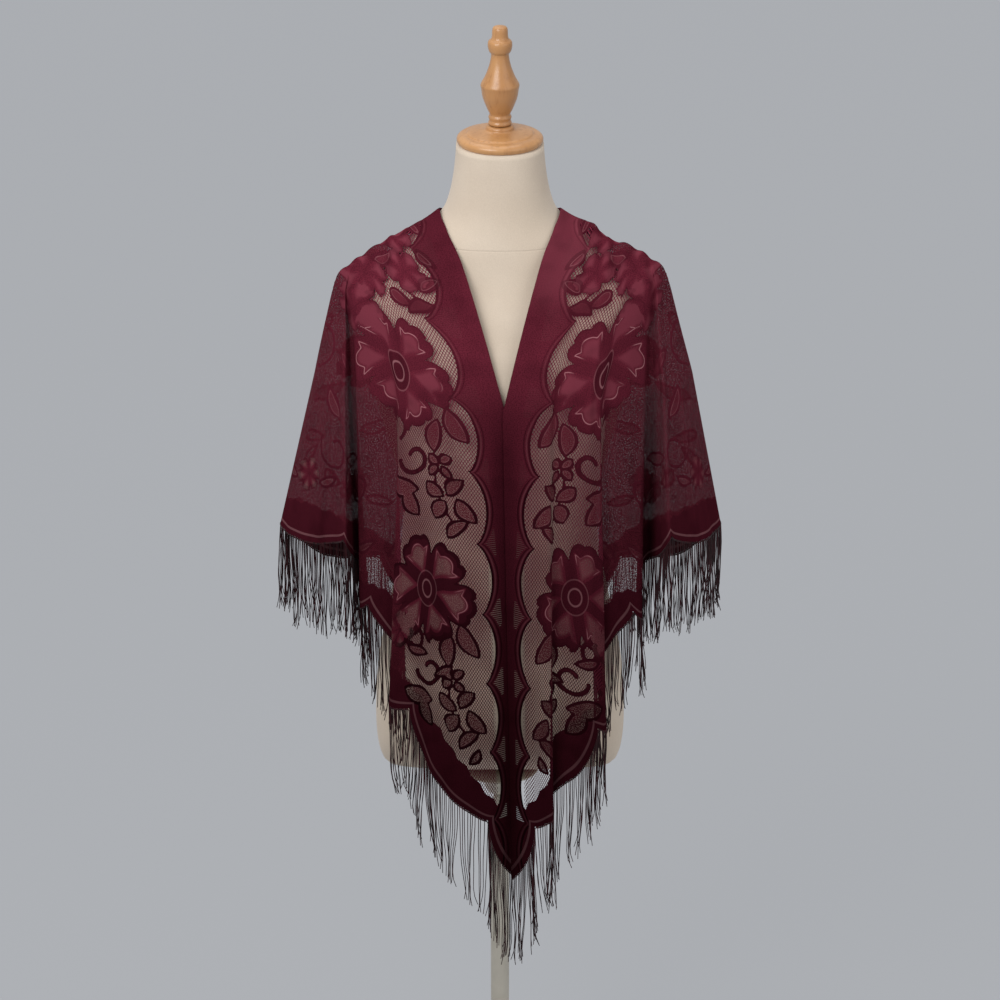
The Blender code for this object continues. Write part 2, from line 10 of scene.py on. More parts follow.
import bpy
import numpy as np
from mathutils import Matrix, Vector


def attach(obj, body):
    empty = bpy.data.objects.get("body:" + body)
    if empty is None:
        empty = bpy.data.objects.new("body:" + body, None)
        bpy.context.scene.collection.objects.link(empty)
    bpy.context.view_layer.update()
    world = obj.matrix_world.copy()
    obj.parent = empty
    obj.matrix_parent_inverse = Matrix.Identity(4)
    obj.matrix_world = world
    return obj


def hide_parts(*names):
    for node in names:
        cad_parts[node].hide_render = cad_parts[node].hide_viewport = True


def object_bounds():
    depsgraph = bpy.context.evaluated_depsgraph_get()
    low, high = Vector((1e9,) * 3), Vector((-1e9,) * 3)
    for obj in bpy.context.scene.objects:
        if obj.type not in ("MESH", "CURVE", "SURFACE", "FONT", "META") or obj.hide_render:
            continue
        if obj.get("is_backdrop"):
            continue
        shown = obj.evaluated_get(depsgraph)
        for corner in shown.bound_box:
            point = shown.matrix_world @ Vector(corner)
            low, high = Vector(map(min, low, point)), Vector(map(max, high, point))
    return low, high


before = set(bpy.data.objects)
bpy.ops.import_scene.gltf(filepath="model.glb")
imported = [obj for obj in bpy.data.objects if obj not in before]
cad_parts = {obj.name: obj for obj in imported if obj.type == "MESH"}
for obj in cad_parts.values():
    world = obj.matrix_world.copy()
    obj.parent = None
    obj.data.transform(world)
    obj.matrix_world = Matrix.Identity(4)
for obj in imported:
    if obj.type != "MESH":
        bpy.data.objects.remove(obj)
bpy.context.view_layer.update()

# %% [markdown]
# ## Camera
#
# A camera about five metres off, looking down on the form, with a long lens. Its target is on
# the form's axis. A long lens keeps the neck and the tip of the shawl at nearly one scale.

# %% Camera
TARGET_HEIGHT = 0.86
CAMERA_DISTANCE = 5.0
CAMERA_PITCH = math.radians(23.0)
LENS = 150.0
SENSOR = 36.0

camera_data = bpy.data.cameras.new("camera")
camera_data.lens = LENS
camera_data.sensor_width = SENSOR
camera = bpy.data.objects.new("camera", camera_data)
camera.location = (
    0.0,
    -CAMERA_DISTANCE * math.cos(CAMERA_PITCH),
    TARGET_HEIGHT + CAMERA_DISTANCE * math.sin(CAMERA_PITCH),
)
camera.rotation_euler = (math.pi / 2 - CAMERA_PITCH, 0.0, 0.0)
bpy.context.scene.collection.objects.link(camera)
bpy.context.scene.camera = camera
bpy.context.scene.view_settings.view_transform = "Standard"
print("camera at", tuple(round(c, 3) for c in camera.location))

# %% [markdown]
# ## Light and floor
#
# A studio shot on a grey sweep: a soft key light near the shoulders, from the front and left, two
# wide weak lights, and light from all round that keeps the shadows open. The key light is near,
# so the hem gets less of it than the shoulders. The floor is one wide matt sheet.

# %% Light and floor
FLOOR_HALF = 40.0
FLOOR_GLOW = (0.314, 0.328, 0.353)
AMBIENT = 0.50
KEY_LIGHT = ((-0.85, -1.40, 2.30), 1.2, 25.0)  # place, size and watts
WIDE_LIGHTS = (
    # name, where it comes from, angle it fills, strength
    ("fill light", (3.0, -2.6, 2.4), 50.0, 0.45),
    ("top light", (-0.4, 0.8, 4.2), 60.0, 1.10),
)
LIT_PLACE = (0.0, 0.0, 1.05)  # the chest of the form
WHITE = (1.0, 1.0, 1.0, 1.0)


def aim(thing, target):
    """Turn a light so that its -Z axis points at the target."""
    direction = np.array(target) - np.array(thing.location)
    flat = math.hypot(direction[0], direction[1])
    thing.rotation_euler = (
        math.pi / 2 + math.atan2(direction[2], flat),
        0.0,
        math.atan2(direction[1], direction[0]) - math.pi / 2,
    )


def add_light(name, kind, place, energy):
    """A light of a kind at a place, turned to the chest of the form."""
    light = bpy.data.objects.new(name, bpy.data.lights.new(name, kind))
    light.data.energy = energy
    light.location = place
    aim(light, LIT_PLACE)
    bpy.context.scene.collection.objects.link(light)
    return light.data


key = add_light("key light", "AREA", KEY_LIGHT[0], KEY_LIGHT[2])
key.size = KEY_LIGHT[1]
for name, place, angle, strength in WIDE_LIGHTS:
    add_light(name, "SUN", place, strength).angle = math.radians(angle)

world = bpy.data.worlds.new("studio")
world.use_nodes = True
background = world.node_tree.nodes["Background"]
background.inputs["Color"].default_value = WHITE
background.inputs["Strength"].default_value = AMBIENT
bpy.context.scene.world = world

floor_mesh = bpy.data.meshes.new("floor")
floor_mesh.from_pydata(
    [(x * FLOOR_HALF, y * FLOOR_HALF, 0.0) for x, y in ((-1, -1), (1, -1), (1, 1), (-1, 1))],
    [],
    [(0, 1, 2, 3)],
)
floor = bpy.data.objects.new("floor", floor_mesh)
bpy.context.scene.collection.objects.link(floor)
floor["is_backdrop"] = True
print("lights", 1 + len(WIDE_LIGHTS))

# %% [markdown]
# ## Shader sums
#
# A material's pattern is arithmetic on sockets. The class below wraps one socket, so that
# `1 - mask * 0.5` adds the Math nodes by itself. Colours go through Mix nodes, because a Math
# node would turn them grey.


# %% Shader helpers
class Sum:
    """A socket that takes part in sums. Each operator adds one Math node."""

    def __init__(self, finish, socket):
        self.finish = finish
        self.socket = socket

    def calculate(self, operation, *values):
        """A Math node of one operation on these values."""
        node = self.finish.node("ShaderNodeMath", {"operation": operation}, dict(enumerate(values)))
        return Sum(self.finish, node.outputs[0])

    def __add__(self, other):
        return self.calculate("ADD", self, other)

    def __radd__(self, other):
        return self.calculate("ADD", other, self)

    def __sub__(self, other):
        return self.calculate("SUBTRACT", self, other)

    def __rsub__(self, other):
        return self.calculate("SUBTRACT", other, self)

    def __mul__(self, other):
        return self.calculate("MULTIPLY", self, other)

    def __rmul__(self, other):
        return self.calculate("MULTIPLY", other, self)

    def __abs__(self):
        return self.calculate("ABSOLUTE", self)

    def least(self, other):
        """The lower of two sums."""
        return self.calculate("MINIMUM", self, other)

    def most(self, other):
        """The higher of two sums."""
        return self.calculate("MAXIMUM", self, other)

    def sine(self):
        """Sine of the sum in radians."""
        return self.calculate("SINE", self)

    def rises(self, low, high):
        """Smooth step: 0 below low, 1 above high. With low over high it falls."""
        node = self.finish.node(
            "ShaderNodeMapRange",
            {"interpolation_type": "SMOOTHSTEP"},
            {"Value": self, "From Min": min(low, high), "From Max": max(low, high)},
        )
        step = Sum(self.finish, node.outputs[0])
        return step if low < high else 1 - step

    def line(self, middle, core, fade):
        """A line where the sum is near the middle: 1 up to core away from it, 0 past fade."""
        return abs(self - middle).rises(fade, core)

    def inside(self, soft):
        """1 where the sum is under nothing, as a distance is inside its outline."""
        return self.rises(soft, -soft)


class Finish:
    """One material: a Principled shader and one method that adds any node to it."""

    def __init__(self, name):
        self.material = bpy.data.materials.new(name)
        self.material.use_nodes = True
        self.tree = self.material.node_tree
        self.shader = self.tree.nodes["Principled BSDF"]

    def plug(self, socket, value):
        """Link a sum or a socket, or set a plain value."""
        if isinstance(value, Sum):
            self.tree.links.new(value.socket, socket)
        elif isinstance(value, bpy.types.NodeSocket):
            self.tree.links.new(value, socket)
        else:
            socket.default_value = value

    def node(self, kind, settings, sockets):
        """A node of any kind: its settings first, then the values or links of its sockets."""
        node = self.tree.nodes.new(kind)
        for key, value in settings.items():
            setattr(node, key, value)
        for key, value in sockets.items():
            self.plug(node.inputs[key], value)
        return node

    def number(self, attribute):
        """A number that the mesh holds at each of its points."""
        node = self.node("ShaderNodeAttribute", {"attribute_name": attribute}, {})
        return Sum(self, node.outputs["Fac"])

    def place(self):
        """Object coordinates."""
        return self.node("ShaderNodeTexCoord", {}, {}).outputs["Object"]

    def part(self, place, axis):
        """One part of a place: 0, 1 or 2 for the first, second or third."""
        return Sum(self, self.node("ShaderNodeSeparateXYZ", {}, {0: place}).outputs[axis])

    def flat_place(self):
        """The place in the flat cloth, in metres."""
        node = self.node("ShaderNodeAttribute", {"attribute_name": "flat"}, {})
        return node.outputs["Vector"]

    def stretched(self, place, scale):
        """A place multiplied along its axes, so that a pattern is longer one way."""
        node = self.node("ShaderNodeMapping", {}, {"Vector": place, "Scale": scale})
        return node.outputs[0]

    def noise(self, place, scale, detail=2.0, roughness=0.5):
        """Cloudy noise from 0 to 1, with about scale clouds to the metre."""
        sockets = {"Vector": place, "Scale": scale, "Detail": detail, "Roughness": roughness}
        return Sum(self, self.node("ShaderNodeTexNoise", {}, sockets).outputs[0])

    def blend(self, share, first, second):
        """Colour from first to second as share goes from 0 to 1."""
        node = self.node("ShaderNodeMix", {"data_type": "RGBA"}, {})
        self.plug(node.inputs[0], share)
        for socket, colour in ((node.inputs[6], first), (node.inputs[7], second)):
            self.plug(socket, (*colour, 1.0) if isinstance(colour, tuple) else colour)
        return node.outputs[2]

    def bump(self, height, distance, strength=1.0):
        """Low relief: height as a sum, and how far a height of 1 stands out in metres."""
        sockets = {"Height": height, "Distance": distance, "Strength": strength}
        return self.node("ShaderNodeBump", {}, sockets).outputs[0]

    def set(self, **values):
        """Set or link sockets of the shader, named with _ for spaces."""
        for key, value in values.items():
            self.plug(self.shader.inputs[key.replace("_", " ")], value)
        return self.material


print("helpers ready")

# %% [markdown]
# ## Meshes from arrays
#
# Every new surface here is worked out as whole arrays. One function turns points and
# triangles or quads into a mesh, with numbers kept at its points for the materials.


# %% Mesh helpers
def mesh_piece(name, points, faces, material, numbers=None, normals=None):
    """One smooth object from an array of points and an array of faces of equal size. Its place
    is in its mesh, and it rides on the frame's one body."""
    mesh = bpy.data.meshes.new(name)
    points = np.ascontiguousarray(points, np.float32)
    faces = np.ascontiguousarray(faces, np.int32)
    count, corners = faces.shape
    mesh.vertices.add(len(points))
    mesh.vertices.foreach_set("co", points.ravel())
    mesh.loops.add(count * corners)
    mesh.loops.foreach_set("vertex_index", faces.ravel())
    mesh.polygons.add(count)
    mesh.polygons.foreach_set("loop_start", np.arange(0, count * corners, corners, dtype=np.int32))
    mesh.update(calc_edges=True)
    for key, values in (numbers or {}).items():
        vector = np.ndim(values) == 2
        kind = "FLOAT_VECTOR" if vector else "FLOAT"
        attribute = mesh.attributes.new(key, kind, "POINT")
        field = "vector" if vector else "value"
        attribute.data.foreach_set(field, np.ascontiguousarray(values, np.float32).ravel())
    mesh.shade_smooth()
    if normals is not None:
        mesh.normals_split_custom_set_from_vertices(normals.astype(np.float32))
    mesh.materials.append(material)
    piece = bpy.data.objects.new(name, mesh)
    bpy.context.scene.collection.objects.link(piece)
    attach(piece, "root")
    return piece


def grid_quads(rows, columns, closed=False):
    """Quads of a grid of rows x columns points. Closed joins the last column to the first."""
    row, column = np.meshgrid(
        np.arange(rows - 1), np.arange(columns if closed else columns - 1), indexing="ij"
    )
    after = (column + 1) % columns
    quads = [
        row * columns + column,
        row * columns + after,
        (row + 1) * columns + after,
        (row + 1) * columns + column,
    ]
    return np.stack([q.ravel() for q in quads], axis=1)


print("mesh helpers ready")

# %% [markdown]
# ## The flat shawl
#
# The real shawl is one flat triangle of lace. Its long edge lies round the neck, and its two
# short edges carry the fringe. All of the lace is designed in this flat triangle, in metres: u
# runs along the long edge from the nape, and v goes from the long edge towards the back point.
# The sizes and the table of folds are those of the solid model, so the cloth lies where it does.

# %% Sizes of the cut and the drape
HALF_EDGE = 0.975  # half of the long edge
POINT_DROP = 0.740  # from the long edge to the back point
LEG = math.hypot(HALF_EDGE, POINT_DROP)  # one fringed edge
NAPE_HALF = 0.105  # the part of the half edge that lies behind the neck
SHOULDER_U = 0.229  # where the tip of the shoulder lies in the flat triangle
SHOULDER_V = 0.135
SCALLOP_WIDTH = 0.1755
SCALLOP_FIRST = 0.0865  # from the front tip to the first notch between scallops
SCALLOP_DEPTH = 0.028
SCALLOP_ROUND = 0.75  # under 1 makes each scallop fuller

NECK_SIDE = (0.0680, 0.000, 1.2290)
SHOULDER = (0.1900, 0.000, 1.1450)
NAPE = (0.0, 0.0740, 1.2000)
RIDGE_GATHER = 0.0012  # height of the gathers on the ridge from neck to shoulder
RIDGE_GATHERS = 6.5  # and how many there are
CHEST_Z = 1.025  # the cloth lies on the form above this and hangs free below it
OVER_SHOULDER = 0.60  # how much of the way forward follows a sine, which rounds the shoulder
OVER_SIDE = 0.20  # the same for the way sideways
EDGE_SHOULDER = 0.90  # both at the front edge, which lies closer to the form
EDGE_SIDE = 0.30
EDGE_SPREAD = 0.10  # run over which the front edge's values give way to the others
TURN_SPREAD = 0.75  # under 1 puts more points near the foot of the arc
FOLD_ROUND = 0.015  # run to each side over which folds are rounded
OUTER_RUN = 0.770  # the line down the arm, where the front stretch meets the back one

FOLD_COLUMNS = ("name", "run", "start", "chest_x", "chest_y", "hem_x", "hem_y", "let_down")
RIGHT_FRONT_FOLDS = (
    ("front edge", 0.000, 0.00, -0.006, -0.1262, -0.018, -0.1080, 0.020),
    ("edge turn", 0.035, 0.05, 0.011, -0.1320, 0.004, -0.1370, 0.014),
    ("front panel", 0.105, 0.22, 0.048, -0.1325, 0.046, -0.1365, 0.010),
    ("panel swell", 0.160, 0.36, 0.074, -0.1300, 0.078, -0.1330, 0.006),
    ("panel crease", 0.200, 0.45, 0.089, -0.1255, 0.092, -0.1260, 0.006),
    ("panel side", 0.290, 0.60, 0.116, -0.1170, 0.136, -0.1220, 0.024),
    ("under panel", 0.335, 0.67, 0.120, -0.1040, 0.110, -0.0950, -0.008),
    ("side swell", 0.385, 0.75, 0.145, -0.0870, 0.138, -0.0860, -0.012),
    ("side edge", 0.440, 0.82, 0.168, -0.0630, 0.170, -0.0640, 0.014),
    ("under arm", 0.500, 0.85, 0.169, -0.0460, 0.158, -0.0180, -0.010),
    ("arm inside", 0.530, 0.87, 0.175, -0.0440, 0.170, -0.0150, -0.018),
    ("arm front", 0.600, 0.90, 0.182, -0.0620, 0.181, -0.0890, -0.013),
    ("arm hollow", 0.645, 0.93, 0.196, -0.0430, 0.205, -0.0520, -0.013),
    ("arm swell", 0.705, 0.965, 0.210, -0.0300, 0.236, -0.0500, -0.021),
)
LEFT_FRONT_FOLDS = (
    ("front edge", 0.000, 0.00, 0.003, -0.1305, 0.014, -0.1150, 0.020),
    ("edge turn", 0.035, 0.05, 0.018, -0.1320, 0.034, -0.1370, 0.018),
    ("inner pleat", 0.106, 0.23, 0.057, -0.1325, 0.067, -0.1370, 0.026),
    ("under pleat", 0.138, 0.29, 0.063, -0.1255, 0.057, -0.1185, 0.018),
    ("panel strip", 0.166, 0.35, 0.074, -0.1275, 0.076, -0.1230, 0.018),
    ("panel swell", 0.205, 0.46, 0.095, -0.1245, 0.103, -0.1260, 0.030),
    ("panel side", 0.258, 0.57, 0.116, -0.1150, 0.130, -0.1130, 0.052),
    ("under panel", 0.325, 0.66, 0.121, -0.1030, 0.109, -0.0940, -0.006),
    ("side swell", 0.385, 0.75, 0.146, -0.0880, 0.139, -0.0860, -0.008),
    ("side edge", 0.440, 0.82, 0.169, -0.0660, 0.172, -0.0660, 0.030),
    ("under arm", 0.500, 0.85, 0.172, -0.0490, 0.163, -0.0200, -0.006),
    ("arm inside", 0.530, 0.87, 0.180, -0.0460, 0.177, -0.0160, -0.018),
    ("arm front", 0.600, 0.90, 0.192, -0.0610, 0.199, -0.0910, -0.019),
    ("arm hollow", 0.645, 0.93, 0.206, -0.0430, 0.221, -0.0560, -0.013),
    ("arm swell", 0.705, 0.965, 0.219, -0.0280, 0.246, -0.0450, -0.019),
)
RIGHT_BACK_FOLDS = (
    ("arm side", 0.770, 1.00, 0.2205, 0.0000, 0.266, 0.0000, -0.018),
    ("arm back", 0.830, 0.97, 0.212, 0.0450, 0.252, 0.0480, -0.006),
    ("blade hollow", 0.890, 0.84, 0.187, 0.0740, 0.207, 0.0660, 0.000),
    ("blade swell", 0.950, 0.62, 0.155, 0.1010, 0.176, 0.1080, 0.000),
    ("back hollow", 1.010, 0.36, 0.116, 0.1150, 0.126, 0.1080, 0.000),
    ("back swell", 1.080, -0.05, 0.072, 0.1260, 0.082, 0.1420, -0.003),
    ("point hollow", 1.150, -0.50, 0.032, 0.1250, 0.037, 0.1290, -0.024),
)
LEFT_BACK_FOLDS = (
    ("arm side", 0.770, 1.00, 0.2290, 0.0000, 0.267, 0.0000, -0.018),
    ("arm back", 0.825, 0.97, 0.217, 0.0420, 0.254, 0.0420, -0.006),
    ("blade hollow", 0.880, 0.86, 0.191, 0.0710, 0.214, 0.0620, 0.000),
    ("blade swell", 0.950, 0.62, 0.156, 0.1000, 0.174, 0.1100, 0.000),
    ("back hollow", 1.020, 0.33, 0.112, 0.1160, 0.118, 0.1100, 0.000),
    ("back swell", 1.085, -0.08, 0.068, 0.1260, 0.074, 0.1400, -0.004),
    ("point hollow", 1.155, -0.52, 0.031, 0.1250, 0.033, 0.1300, -0.025),
)
BACK_POINT = ("back point", LEG, -1.00, 0.000, 0.1270, 0.000, 0.1420, -0.035)

TORSO_COLUMNS = ("z", "half_width", "front", "back")
TORSO_LEVELS = (
    (0.506, 0.126, 0.014, 0.016),
    (0.510, 0.136, 0.023, 0.026),
    (0.518, 0.143, 0.038, 0.043),
    (0.532, 0.148, 0.059, 0.066),
    (0.552, 0.151, 0.082, 0.091),
    (0.580, 0.152, 0.099, 0.109),
    (0.612, 0.151, 0.107, 0.117),
    (0.660, 0.147, 0.106, 0.115),
    (0.730, 0.133, 0.099, 0.099),
    (0.800, 0.119, 0.091, 0.083),
    (0.850, 0.115, 0.089, 0.077),
    (0.900, 0.121, 0.094, 0.080),
    (0.960, 0.137, 0.108, 0.091),
    (1.010, 0.151, 0.120, 0.101),
    (1.040, 0.158, 0.121, 0.106),
    (1.080, 0.166, 0.111, 0.109),
    (1.115, 0.174, 0.096, 0.106),
    (1.135, 0.173, 0.086, 0.100),
    (1.147, 0.160, 0.079, 0.094),
    (1.162, 0.140, 0.073, 0.086),
    (1.180, 0.118, 0.068, 0.078),
    (1.200, 0.093, 0.064, 0.070),
    (1.220, 0.069, 0.058, 0.063),
    (1.240, 0.0605, 0.054, 0.057),
    (1.265, 0.0550, 0.0515, 0.052),
    (1.290, 0.0520, 0.0505, 0.0505),
    (1.309, 0.0508, 0.0500, 0.0500),
)
TORSO_SQUARE = 2.25  # power of the rings: 2 is an ellipse, more is squarer
CLOTH_CLEAR = 0.0040  # room between the form and the cloth on it
print("leg", round(LEG, 3), "m")

# %% [markdown]
# ## Ribs: from the flat cloth to the drape
#
# Draped cloth keeps its lengths. A rib is a straight line of the flat triangle, from the nape or
# the shoulder ridge to the fringed edge. On the form it lies over the shoulder as an arc and
# then hangs straight. A cloth simulation could find this too, but it would move the folds about.
# Ribs keep each fold where the table puts it, and the lace isn't stretched.


# %% Ribs
ROUNDING_STEPS = 17
ROUNDING_LOSS = 0.75  # of the weight, from the middle of the rounding to its ends
CLEAR_SHARPNESS = 26  # how suddenly cloth near the form is moved out
LEAST_MEASURE = 0.05  # of the ring, so that cloth near the axis isn't thrown far out
LEAST_COSINE = 0.3  # of the angle at which a rib meets the hem
CUT_SAMPLES = 300
TINY = 1e-9  # keeps a division from failing


def column(rows, columns, name):
    """One named column of a table as an array."""
    at = columns.index(name)
    return np.array([row[at] for row in rows], float)


def rounded_through(knots, values, at):
    """Straight runs between the knots, each value a mean over FOLD_ROUND to both sides with the
    most weight in the middle, so that each fold turns without an edge."""
    knots = np.array([2 * knots[0] - knots[1], *knots, 2 * knots[-1] - knots[-2]])
    values = np.array([2 * values[0] - values[1], *values, 2 * values[-1] - values[-2]])
    offsets = np.linspace(-1, 1, ROUNDING_STEPS)
    weights = 1.0 - ROUNDING_LOSS * np.abs(offsets)
    total = sum(
        weight * np.interp(at + offset * FOLD_ROUND, knots, values)
        for offset, weight in zip(offsets, weights)
    )
    return total / weights.sum()


def torso_ring(z):
    """Half width, front depth and back depth of the torso at the heights z."""
    levels = column(TORSO_LEVELS, TORSO_COLUMNS, "z")
    return [np.interp(z, levels, column(TORSO_LEVELS, TORSO_COLUMNS, n)) for n in TORSO_COLUMNS[1:]]


def clear_of_form(points):
    """Points moved out level from the axis until they lie on the form.

    The ring measure is 1 on the form's ring. The distance from the axis is multiplied by
    (1 + measure ** -n) ** (1 / n), which is 1 far outside and 1 / measure inside.
    """
    x, y, z = points[..., 0], points[..., 1], points[..., 2]
    half_width, front, back = torso_ring(z)
    depth = np.where(y < 0, front, back)
    reach = (np.abs(x) / (half_width + CLOTH_CLEAR)) ** TORSO_SQUARE
    reach = reach + (np.abs(y) / (depth + CLOTH_CLEAR)) ** TORSO_SQUARE
    measure = np.maximum(reach ** (1 / TORSO_SQUARE), LEAST_MEASURE)
    factor = (1 + measure**-CLEAR_SHARPNESS) ** (1 / CLEAR_SHARPNESS)
    return np.stack([x * factor, y * factor, z], axis=-1)


def top_line(start):
    """Top of each rib on the form and in the flat cloth: 1 shoulder tip, 0 side of the neck,
    -1 nape. The ridge has small gathers."""
    ridge = np.clip(start, 0, 1)
    nape = np.clip(-start, 0, 1) * math.pi / 2
    gather = RIDGE_GATHER * np.sin(ridge * RIDGE_GATHERS * 2 * math.pi)
    side, tip, back = (np.array(p) for p in (NECK_SIDE, SHOULDER, NAPE))
    on_ridge = side + (tip - side) * ridge[:, None] + gather[:, None] * np.array([0, 0, 1.0])
    on_nape = np.stack(
        [
            side[0] * np.cos(nape),
            side[1] + (back[1] - side[1]) * np.sin(nape),
            side[2] + (back[2] - side[2]) * np.sin(nape),
        ],
        axis=1,
    )
    behind = start < 0
    u = np.where(behind, NAPE_HALF * (1 + start), NAPE_HALF + (SHOULDER_U - NAPE_HALF) * ridge)
    flat = np.stack([u, SHOULDER_V * ridge], axis=1)
    return np.where(behind[:, None], on_nape, on_ridge), flat


def scallop_rise(run):
    """How far the hem lies inside the straight fringed edge: the depth less the depth times a
    power of a sine, which is 0 at each notch."""
    wave = np.abs(np.sin((run - SCALLOP_FIRST) / SCALLOP_WIDTH * math.pi))
    return SCALLOP_DEPTH * (1 - wave**SCALLOP_ROUND)


LEG_NORMAL = np.array([POINT_DROP, HALF_EDGE]) / LEG  # square to a fringed edge, off the cloth
LEG_WAY = np.array([-HALF_EDGE, POINT_DROP]) / LEG  # along a fringed edge to the back point


def hem_cut(runs, ways):
    """Length that the scallops cut off ribs with these ways: the last distance from a rib's
    foot at which the scallop there rises over the rib."""
    back = np.linspace(0, SCALLOP_DEPTH / LEAST_COSINE, CUT_SAMPLES)
    away = back * np.maximum(ways @ LEG_NORMAL, LEAST_COSINE)[:, None]
    beside = runs[:, None] - back * (ways @ LEG_WAY)[:, None]
    return np.where(away < scallop_rise(beside), back, 0).max(axis=1)


def by_leg(u, v):
    """Way along the long edge from the front tip, run along the fringed edge, and distance
    inside the straight fringed edge, of flat places. The last two are the flat place turned
    into the fringed edge's axes."""
    s = HALF_EDGE - np.abs(u)
    return s, (HALF_EDGE * s + POINT_DROP * v) / LEG, (POINT_DROP * s - HALF_EDGE * v) / LEG


def inside_hem(u, v):
    """Distance of flat places from the scalloped hem, over nothing inside the cloth."""
    _s, run, from_leg = by_leg(u, v)
    return from_leg - scallop_rise(run)


def foot_of(run):
    """Flat place of a run along the straight fringed edge."""
    return np.stack([HALF_EDGE - HALF_EDGE / LEG * run, POINT_DROP / LEG * run], axis=1)


# %% [markdown]
# ## Creases and rucks
#
# The table of folds gives the drape its large form. Small creases run along the ribs, and the
# cloth is full and rucked where it goes over the shoulder. Each is one bump, listed one by one,
# and each row can be moved by itself.

# %% Crease tables
CREASES = {
    # run, width, first and last share of the rib, size, lean
    -1: (
        (0.060, 0.016, 0.10, 0.80, 0.0016, 0.03),
        (0.135, 0.012, 0.30, 1.10, -0.0022, 0.02),
        (0.235, 0.014, 0.20, 1.00, 0.0020, -0.02),
        (0.262, 0.010, 0.10, 0.60, -0.0016, 0.03),
        (0.360, 0.012, 0.35, 1.10, -0.0022, 0.01),
        (0.412, 0.010, 0.25, 0.95, 0.0018, 0.01),
        (0.575, 0.010, 0.30, 1.10, -0.0016, 0.00),
        (0.625, 0.010, 0.20, 1.10, -0.0024, 0.01),
        (0.668, 0.012, 0.30, 1.10, 0.0026, 0.00),
        (0.740, 0.012, 0.25, 1.10, 0.0022, 0.00),
        (0.800, 0.012, 0.30, 1.10, -0.0024, 0.00),
        (0.860, 0.014, 0.25, 1.10, 0.0026, 0.01),
        (0.925, 0.014, 0.30, 1.10, -0.0022, 0.00),
        (0.985, 0.016, 0.20, 1.10, 0.0028, 0.00),
        (1.050, 0.014, 0.30, 1.10, -0.0026, 0.01),
        (1.120, 0.016, 0.35, 1.10, 0.0026, 0.00),
        (1.185, 0.014, 0.40, 1.10, -0.0022, 0.00),
    ),
    1: (
        (0.070, 0.014, 0.15, 0.90, 0.0014, 0.02),
        (0.185, 0.012, 0.30, 1.10, -0.0020, 0.02),
        (0.228, 0.010, 0.10, 0.80, 0.0018, -0.01),
        (0.285, 0.012, 0.25, 1.00, -0.0018, 0.02),
        (0.355, 0.012, 0.30, 1.10, 0.0020, 0.01),
        (0.415, 0.012, 0.30, 1.00, -0.0018, 0.01),
        (0.570, 0.010, 0.25, 1.10, 0.0016, 0.00),
        (0.622, 0.010, 0.25, 1.10, -0.0024, 0.00),
        (0.672, 0.011, 0.35, 1.10, 0.0024, 0.01),
        (0.738, 0.013, 0.30, 1.10, -0.0020, 0.00),
        (0.795, 0.012, 0.30, 1.10, 0.0022, 0.00),
        (0.850, 0.014, 0.25, 1.10, -0.0026, 0.01),
        (0.915, 0.014, 0.30, 1.10, 0.0024, 0.00),
        (0.990, 0.015, 0.25, 1.10, -0.0026, 0.00),
        (1.055, 0.014, 0.30, 1.10, 0.0028, 0.01),
        (1.125, 0.016, 0.35, 1.10, -0.0024, 0.00),
        (1.190, 0.014, 0.40, 1.10, 0.0020, 0.00),
    ),
}
CREASE_FADE = 0.15  # share of the rib over which a crease begins and ends
PUCKER = 0.0007  # more height at the ridge's gathers, which runs down the cloth a little
PUCKER_REACH = 0.12
PUCKER_WAVES = (31.0, 53.0)  # radians of two waves from neck to shoulder
PUCKER_STARTS = (0.6, 1.3)
SECOND_PUCKER = 0.7
PUCKER_ENDS = (8, 4)  # one over the share of the ridge in which they start, and in which they end
RUCKS = {
    # share of the way from neck to shoulder tip, rise, reach
    -1: ((0.30, 0.0020, 0.014), (0.62, 0.0060, 0.034), (0.90, 0.0040, 0.030)),
    1: ((0.32, 0.0100, 0.016), (0.70, 0.0080, 0.022), (1.00, 0.0130, 0.048)),
}
print("creases", {sign: len(rows) for sign, rows in CREASES.items()})

# %% [markdown]
# ## The draped cloth
#
# Each rib is an arc over the shoulder and a straight fall, as long as the flat rib. A fine grid
# of their points can be looked up in both ways: which rib passes through a place of the flat
# cloth, and where that place lies on the form.


# %% Drape
HALVINGS = 30
FACING_STEP = 0.004
LOOK_UP_END = 1.001  # keeps a look-up just inside the last row


